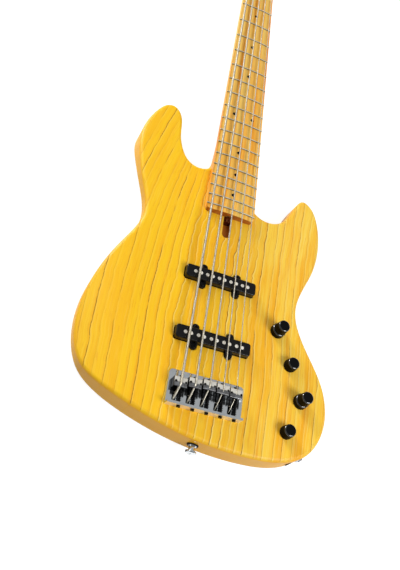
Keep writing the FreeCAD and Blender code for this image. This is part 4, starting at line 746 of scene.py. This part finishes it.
def knobFinish(name, low, high):                # rings on the flat top, fine moulding on the sides
    material, place = startFinish(name)
    x, y, z = parts(place)
    radius = length(x - (low[0] + high[0]) / 2, y - (low[1] + high[1]) / 2)
    ring = radius.sum("SINE", radius * (math.tau / plastic["knobRing"]))
    top = smooth(z, high[2] - plastic["knobTopFrom"], high[2] - plastic["knobTopFull"])
    haze = mottled(place, plastic["knobHaze"])
    up = facing(place, 2)
    edge = smooth(up, 0.10, 0.35) * smooth(up, 0.985, 0.93)       # the rounded edge
    # the top lighter, partly a painted sheen
    colour = blend(held(top * 0.6 + 0.2 * haze), plastic["knob"], plastic["knobTop"])
    height = ring * top + cloud(place, plastic["knobPebble"]) * 0.3
    surface(place, Base_Color=colour, Roughness=0.30 + 0.10 * top + 0.10 * haze,
            Specular_IOR_Level=0.05, Coat_Weight=edge, Coat_Roughness=0.08, Coat_IOR=1.9,
            Normal=raised(height, plastic["knobRingDepth"], 0.5))
    return material


def boneFinish():
    material, place = startFinish("bone")
    vein = brushed(place, plastic["vein"], 3.0)
    colour = blend(smooth(vein, 0.42, 0.72) * 0.7, plastic["bone"], plastic["boneDark"])
    surface(place, Base_Color=colour, Roughness=0.32 + 0.2 * vein,
            Normal=raised(vein, plastic["veinDepth"], 0.4))
    return material


def tapeFinish():
    material, place = startFinish("coil_tape")
    layer = parts(place)[2] * (math.tau / plastic["tapeLayer"])
    layer = layer.sum("SINE", layer)
    thread = brushed(place, plastic["thread"], 2.0, 0.5)
    line = held(smooth(layer, 0.86, 0.98) + 0.3 * thread)
    surface(place, Base_Color=blend(line, plastic["tape"], plastic["tapeLine"]),
            Roughness=0.45 + 0.2 * thread, Normal=raised(thread, plastic["threadDepth"], 0.5))
    return material


def boardFinish():
    material, place = startFinish("circuit_board")
    track = place.add("ShaderNodeTexVoronoi", {"distance": "MANHATTAN", "feature": "F1"},
                      {"Vector": place, "Scale": plastic["trackScale"]})
    line = smooth(abs(track - 0.42), 0.10, 0.05)
    pad = smooth(track, 0.16, 0.11)
    colour = layered(plastic["board"], plastic, [(line * 0.8, "track"), (pad, "pad")])
    surface(place, Base_Color=colour, Roughness=0.35 - 0.1 * pad, Metallic=pad,
            Normal=raised(line + pad, plastic["trackDepth"], 0.5))
    return material


def cellFinish():
    material, place = startFinish("battery_sleeve")
    crease = brushed(place, plastic["crease"], 3.0)
    low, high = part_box("battery")
    first, full = [low[0] + share * (high[0] - low[0]) for share in plastic["cellBandFrom"]]
    band = smooth(parts(place)[0], first, full)
    surface(place, Base_Color=blend(band, plastic["cell"], plastic["cellBand"]),
            Roughness=0.3 + 0.2 * crease, Metallic=0.5 * band,
            Normal=raised(crease, plastic["creaseDepth"], 0.4))
    return material


def dress(material, *names):
    for name in names:
        data = nodes[name].data
        data.materials.clear()
        data.materials.append(material)


def dressNodes():
    dress(ashFinish(), "body")
    dress(mapleFinish("maple_neck", maple["neckOffset"]), "neck")
    dress(mapleFinish("maple_board", maple["boardOffset"]), "fingerboard")
    for finish, table in ((plateFinish, plates), (woundFinish, windings), (mouldedFinish, mouldings)):
        for name, (*values, names) in table.items():
            dress(finish(name, *values), *names)
    dress(bridgeFinish(), "bridge_plate")
    dress(buttonFinish(), "strap_buttons")
    dress(fretFinish(), "frets")
    for name in each("saddle"):
        dress(saddleFinish(name), name)
    for name in sorted(nodes):
        if name.startswith("knob_"):
            dress(knobFinish(name + "_black", *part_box(name)), name)
    dress(boneFinish(), "nut")
    dress(tapeFinish(), "pickup_coils")
    dress(boardFinish(), "preamp_board")
    dress(cellFinish(), "battery")


dressNodes()
print("finishes made:", len(bpy.data.materials))


# felt washers under the strap buttons and foam pads under the pickups
# a key with a capital is an input of the geometry tree

felt = {
    "dark": tone(15, 15, 16),
    "pale": tone(44, 43, 43),
    "nap": 2600.0,
    "lint": (900.0, 900.0, 5200.0),
    "napDepth": 0.0002,
    "voxel": 0.00035,
    "rim": 0.4,                                 # a face that looks along the axis by less is on the rim
    "Density": 5.0e6,                           # hairs per square metre of the rim
    "Length": 0.0007,
    "Thickness": 0.00006,
    "Waviness": 0.00016,
    "waves": 900.0,
    "Seed": 11,
    "sizeSeed": 3,                              # added to the seed for the hairs' sizes
    "lean": 1.1,                                # radians that a hair leans and spins either way
    "spin": 3.1,
    "shortest": 0.4,                            # share of the length
    "fill": 0.95,
}

foam = {
    "dark": tone(24, 24, 25),
    "pale": tone(58, 57, 58),
    "cells": 900.0,
    "cellDepth": 0.0003,
    "voxel": 0.0007,
    "Pore Size": 0.0011,
    "Pore Depth": 0.0005,
    "poreWall": (0.15, 0.6),
    "fill": 0.8,
}


def feltFinish():
    material, place = startFinish("black_felt")
    nap = cloud(place, felt["nap"], 3.0, 0.7)
    lint = brushed(place, felt["lint"], 2.0, 0.5)
    light = held(smooth(nap, 0.42, 0.70) * 0.7 + smooth(lint, 0.62, 0.75) * 0.5)
    surface(place, Base_Color=blend(light, felt["dark"], felt["pale"]),
            Roughness=0.90 + 0.08 * nap, Specular_IOR_Level=0.15, Sheen_Weight=0.2,
            Normal=raised(nap, felt["napDepth"], 0.8))
    return material


def foamFinish():
    material, place = startFinish("open_foam")
    cell = place.add("ShaderNodeTexVoronoi", {}, {"Vector": place, "Scale": foam["cells"]})
    # painted shade in the middle of each cell
    surface(place, Base_Color=blend(smooth(cell, 0.15, 0.55), foam["dark"], foam["pale"]),
            Roughness=0.85 + 0.10 * cell, Specular_IOR_Level=0.2,
            Normal=raised(cell, foam["cellDepth"], 0.9))
    return material


def startTree(name, settings, finish):          # a geometry tree with a named input for each size
    tree = bpy.data.node_groups.new(name, "GeometryNodeTree")
    tree.interface.new_socket("Geometry", in_out="INPUT", socket_type="NodeSocketGeometry")
    values = {key: value for key, value in settings.items() if key[0].isupper()}
    for key, value in values.items():
        kind = "NodeSocketInt" if isinstance(value, int) else "NodeSocketFloat"
        tree.interface.new_socket(key, in_out="INPUT", socket_type=kind)
    tree.interface.new_socket("Finish", in_out="INPUT", socket_type="NodeSocketMaterial")
    tree.interface.new_socket("Geometry", in_out="OUTPUT", socket_type="NodeSocketGeometry")
    start = Wire(tree).add("NodeGroupInput", {}, {})
    return tree, start, {**values, "Finish": finish}


def endTree(start, shape):
    whole = start.add("GeometryNodeRealizeInstances", {}, {"Geometry": shape})
    whole = start.add("GeometryNodeSetMaterial", {},
                      {"Geometry": whole, "Material": start.beside("Finish")})
    start.add("NodeGroupOutput", {}, {"Geometry": whole})


def scaled(vector, factor):
    return factor.add("ShaderNodeVectorMath", {"operation": "SCALE"}, {0: vector, "Scale": factor})


def feltTree(finish):
    tree, start, values = startTree("felt_nap", felt, finish)
    place = start.add("GeometryNodeInputPosition", {}, {})
    jitter = start.add("ShaderNodeTexNoise", {}, {"Vector": place, "Scale": felt["waves"]}, "Color")
    jitter = start.add("ShaderNodeVectorMath", {"operation": "SUBTRACT"},
                       {0: jitter, 1: (0.5, 0.5, 0.5)})
    free = start.add("GeometryNodeInputNamedAttribute", {"data_type": "FLOAT"}, {"Name": "free"})
    push = scaled(jitter, start.beside("Waviness") * free)
    base = start.add("GeometryNodeSetPosition", {}, {"Geometry": start, "Offset": push})
    seed = start.beside("Seed")
    spots = start.add("GeometryNodeDistributePointsOnFaces", {},
                      {"Mesh": base, "Density": start.beside("Density") * free, "Seed": seed})
    hair = start.add("GeometryNodeMeshCone", {"fill_type": "NONE"},
                     {"Vertices": 3, "Radius Top": 0.0, "Radius Bottom": start.beside("Thickness"),
                      "Depth": start.beside("Length")})
    lean, spin = felt["lean"], felt["spin"]
    turn = start.add("FunctionNodeRandomValue", {"data_type": "FLOAT_VECTOR"},
                     {0: (-lean, -lean, -spin), 1: (lean, lean, spin), "Seed": seed})
    size = start.add("FunctionNodeRandomValue", {"data_type": "FLOAT"},
                     {2: felt["shortest"], 3: 1.0, "Seed": seed + felt["sizeSeed"]})
    hairs = start.add("GeometryNodeInstanceOnPoints", {},
                      {"Points": spots, "Instance": hair, "Rotation": spots.beside("Rotation"),
                       "Scale": size})
    hairs = start.add("GeometryNodeRotateInstances", {}, {"Instances": hairs, "Rotation": turn})
    endTree(start, start.add("GeometryNodeJoinGeometry", {}, {0: [hairs, base]}))
    return tree, values


def foamTree(finish):
    tree, start, values = startTree("foam_pores", foam, finish)
    place = start.add("GeometryNodeInputPosition", {}, {})
    cell = start.add("ShaderNodeTexVoronoi", {},
                     {"Vector": place, "Scale": 1.0 / start.beside("Pore Size")})
    pit = start.beside("Pore Depth") * (smooth(cell, *foam["poreWall"]) - 1.0)
    push = scaled(start.add("GeometryNodeInputNormal", {}, {}), pit)
    endTree(start, start.add("GeometryNodeSetPosition", {}, {"Geometry": start, "Offset": push}))
    return tree, values


def plainMesh(piece):                           # the evaluated shape as a plain mesh, its modifiers gone
    bpy.context.view_layer.update()
    whole = piece.evaluated_get(bpy.context.evaluated_depsgraph_get())
    data = bpy.data.meshes.new_from_object(whole)
    piece.modifiers.clear()
    piece.data = data


def softCopy(name, node, voxel):                # a merged, evenly meshed copy of a soft node
    work = bmesh.new()
    work.from_mesh(nodes[node].data)
    bmesh.ops.remove_doubles(work, verts=work.verts, dist=mergeGap)
    data = bpy.data.meshes.new(name)
    work.to_mesh(data)
    work.free()
    piece = bpy.data.objects.new(name, data)
    bpy.context.scene.collection.objects.link(piece)
    even = piece.modifiers.new("even", "REMESH")
    even.mode = "VOXEL"
    even.voxel_size = voxel
    plainMesh(piece)
    return piece


def markFree(piece):                            # 1 on the rims of the washers, 0 where they are pressed
    buttons = [(Vector(m["pos_m"]), Vector(m["axis"])) for m in frame["record"]["mounts"]
               if m["name"].endswith("strap_button")]
    mark = piece.data.attributes.new("free", "FLOAT", "POINT")
    for vertex in piece.data.vertices:
        axis = min(buttons, key=lambda button: (button[0] - vertex.co).length)[1]
        onRim = abs(vertex.normal.dot(axis)) < felt["rim"]
        mark.data[vertex.index].value = 1.0 if onRim else 0.0


def growPiece(piece, tree, values, node, slot, fill):
    maker = piece.modifiers.new("maker", "NODES")
    maker.node_group = tree
    for item in tree.interface.items_tree:
        if item.in_out == "INPUT" and item.name in values:
            maker[item.identifier] = values[item.name]
    plainMesh(piece)
    for polygon in piece.data.polygons:
        polygon.use_smooth = True
    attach(piece, "instrument")
    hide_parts(node)
    print(piece.name, "faces:", len(piece.data.polygons))


def makeSoftPieces():
    washers = softCopy("felt_washers", "strap_button_felts", felt["voxel"])
    markFree(washers)
    growPiece(washers, *feltTree(feltFinish()), "strap_button_felts", "felt", felt["fill"])
    pads = softCopy("foam_pads", "pickup_foam", foam["voxel"])
    growPiece(pads, *foamTree(foamFinish()), "pickup_foam", "foam", foam["fill"])


makeSoftPieces()
print("soft pieces made")
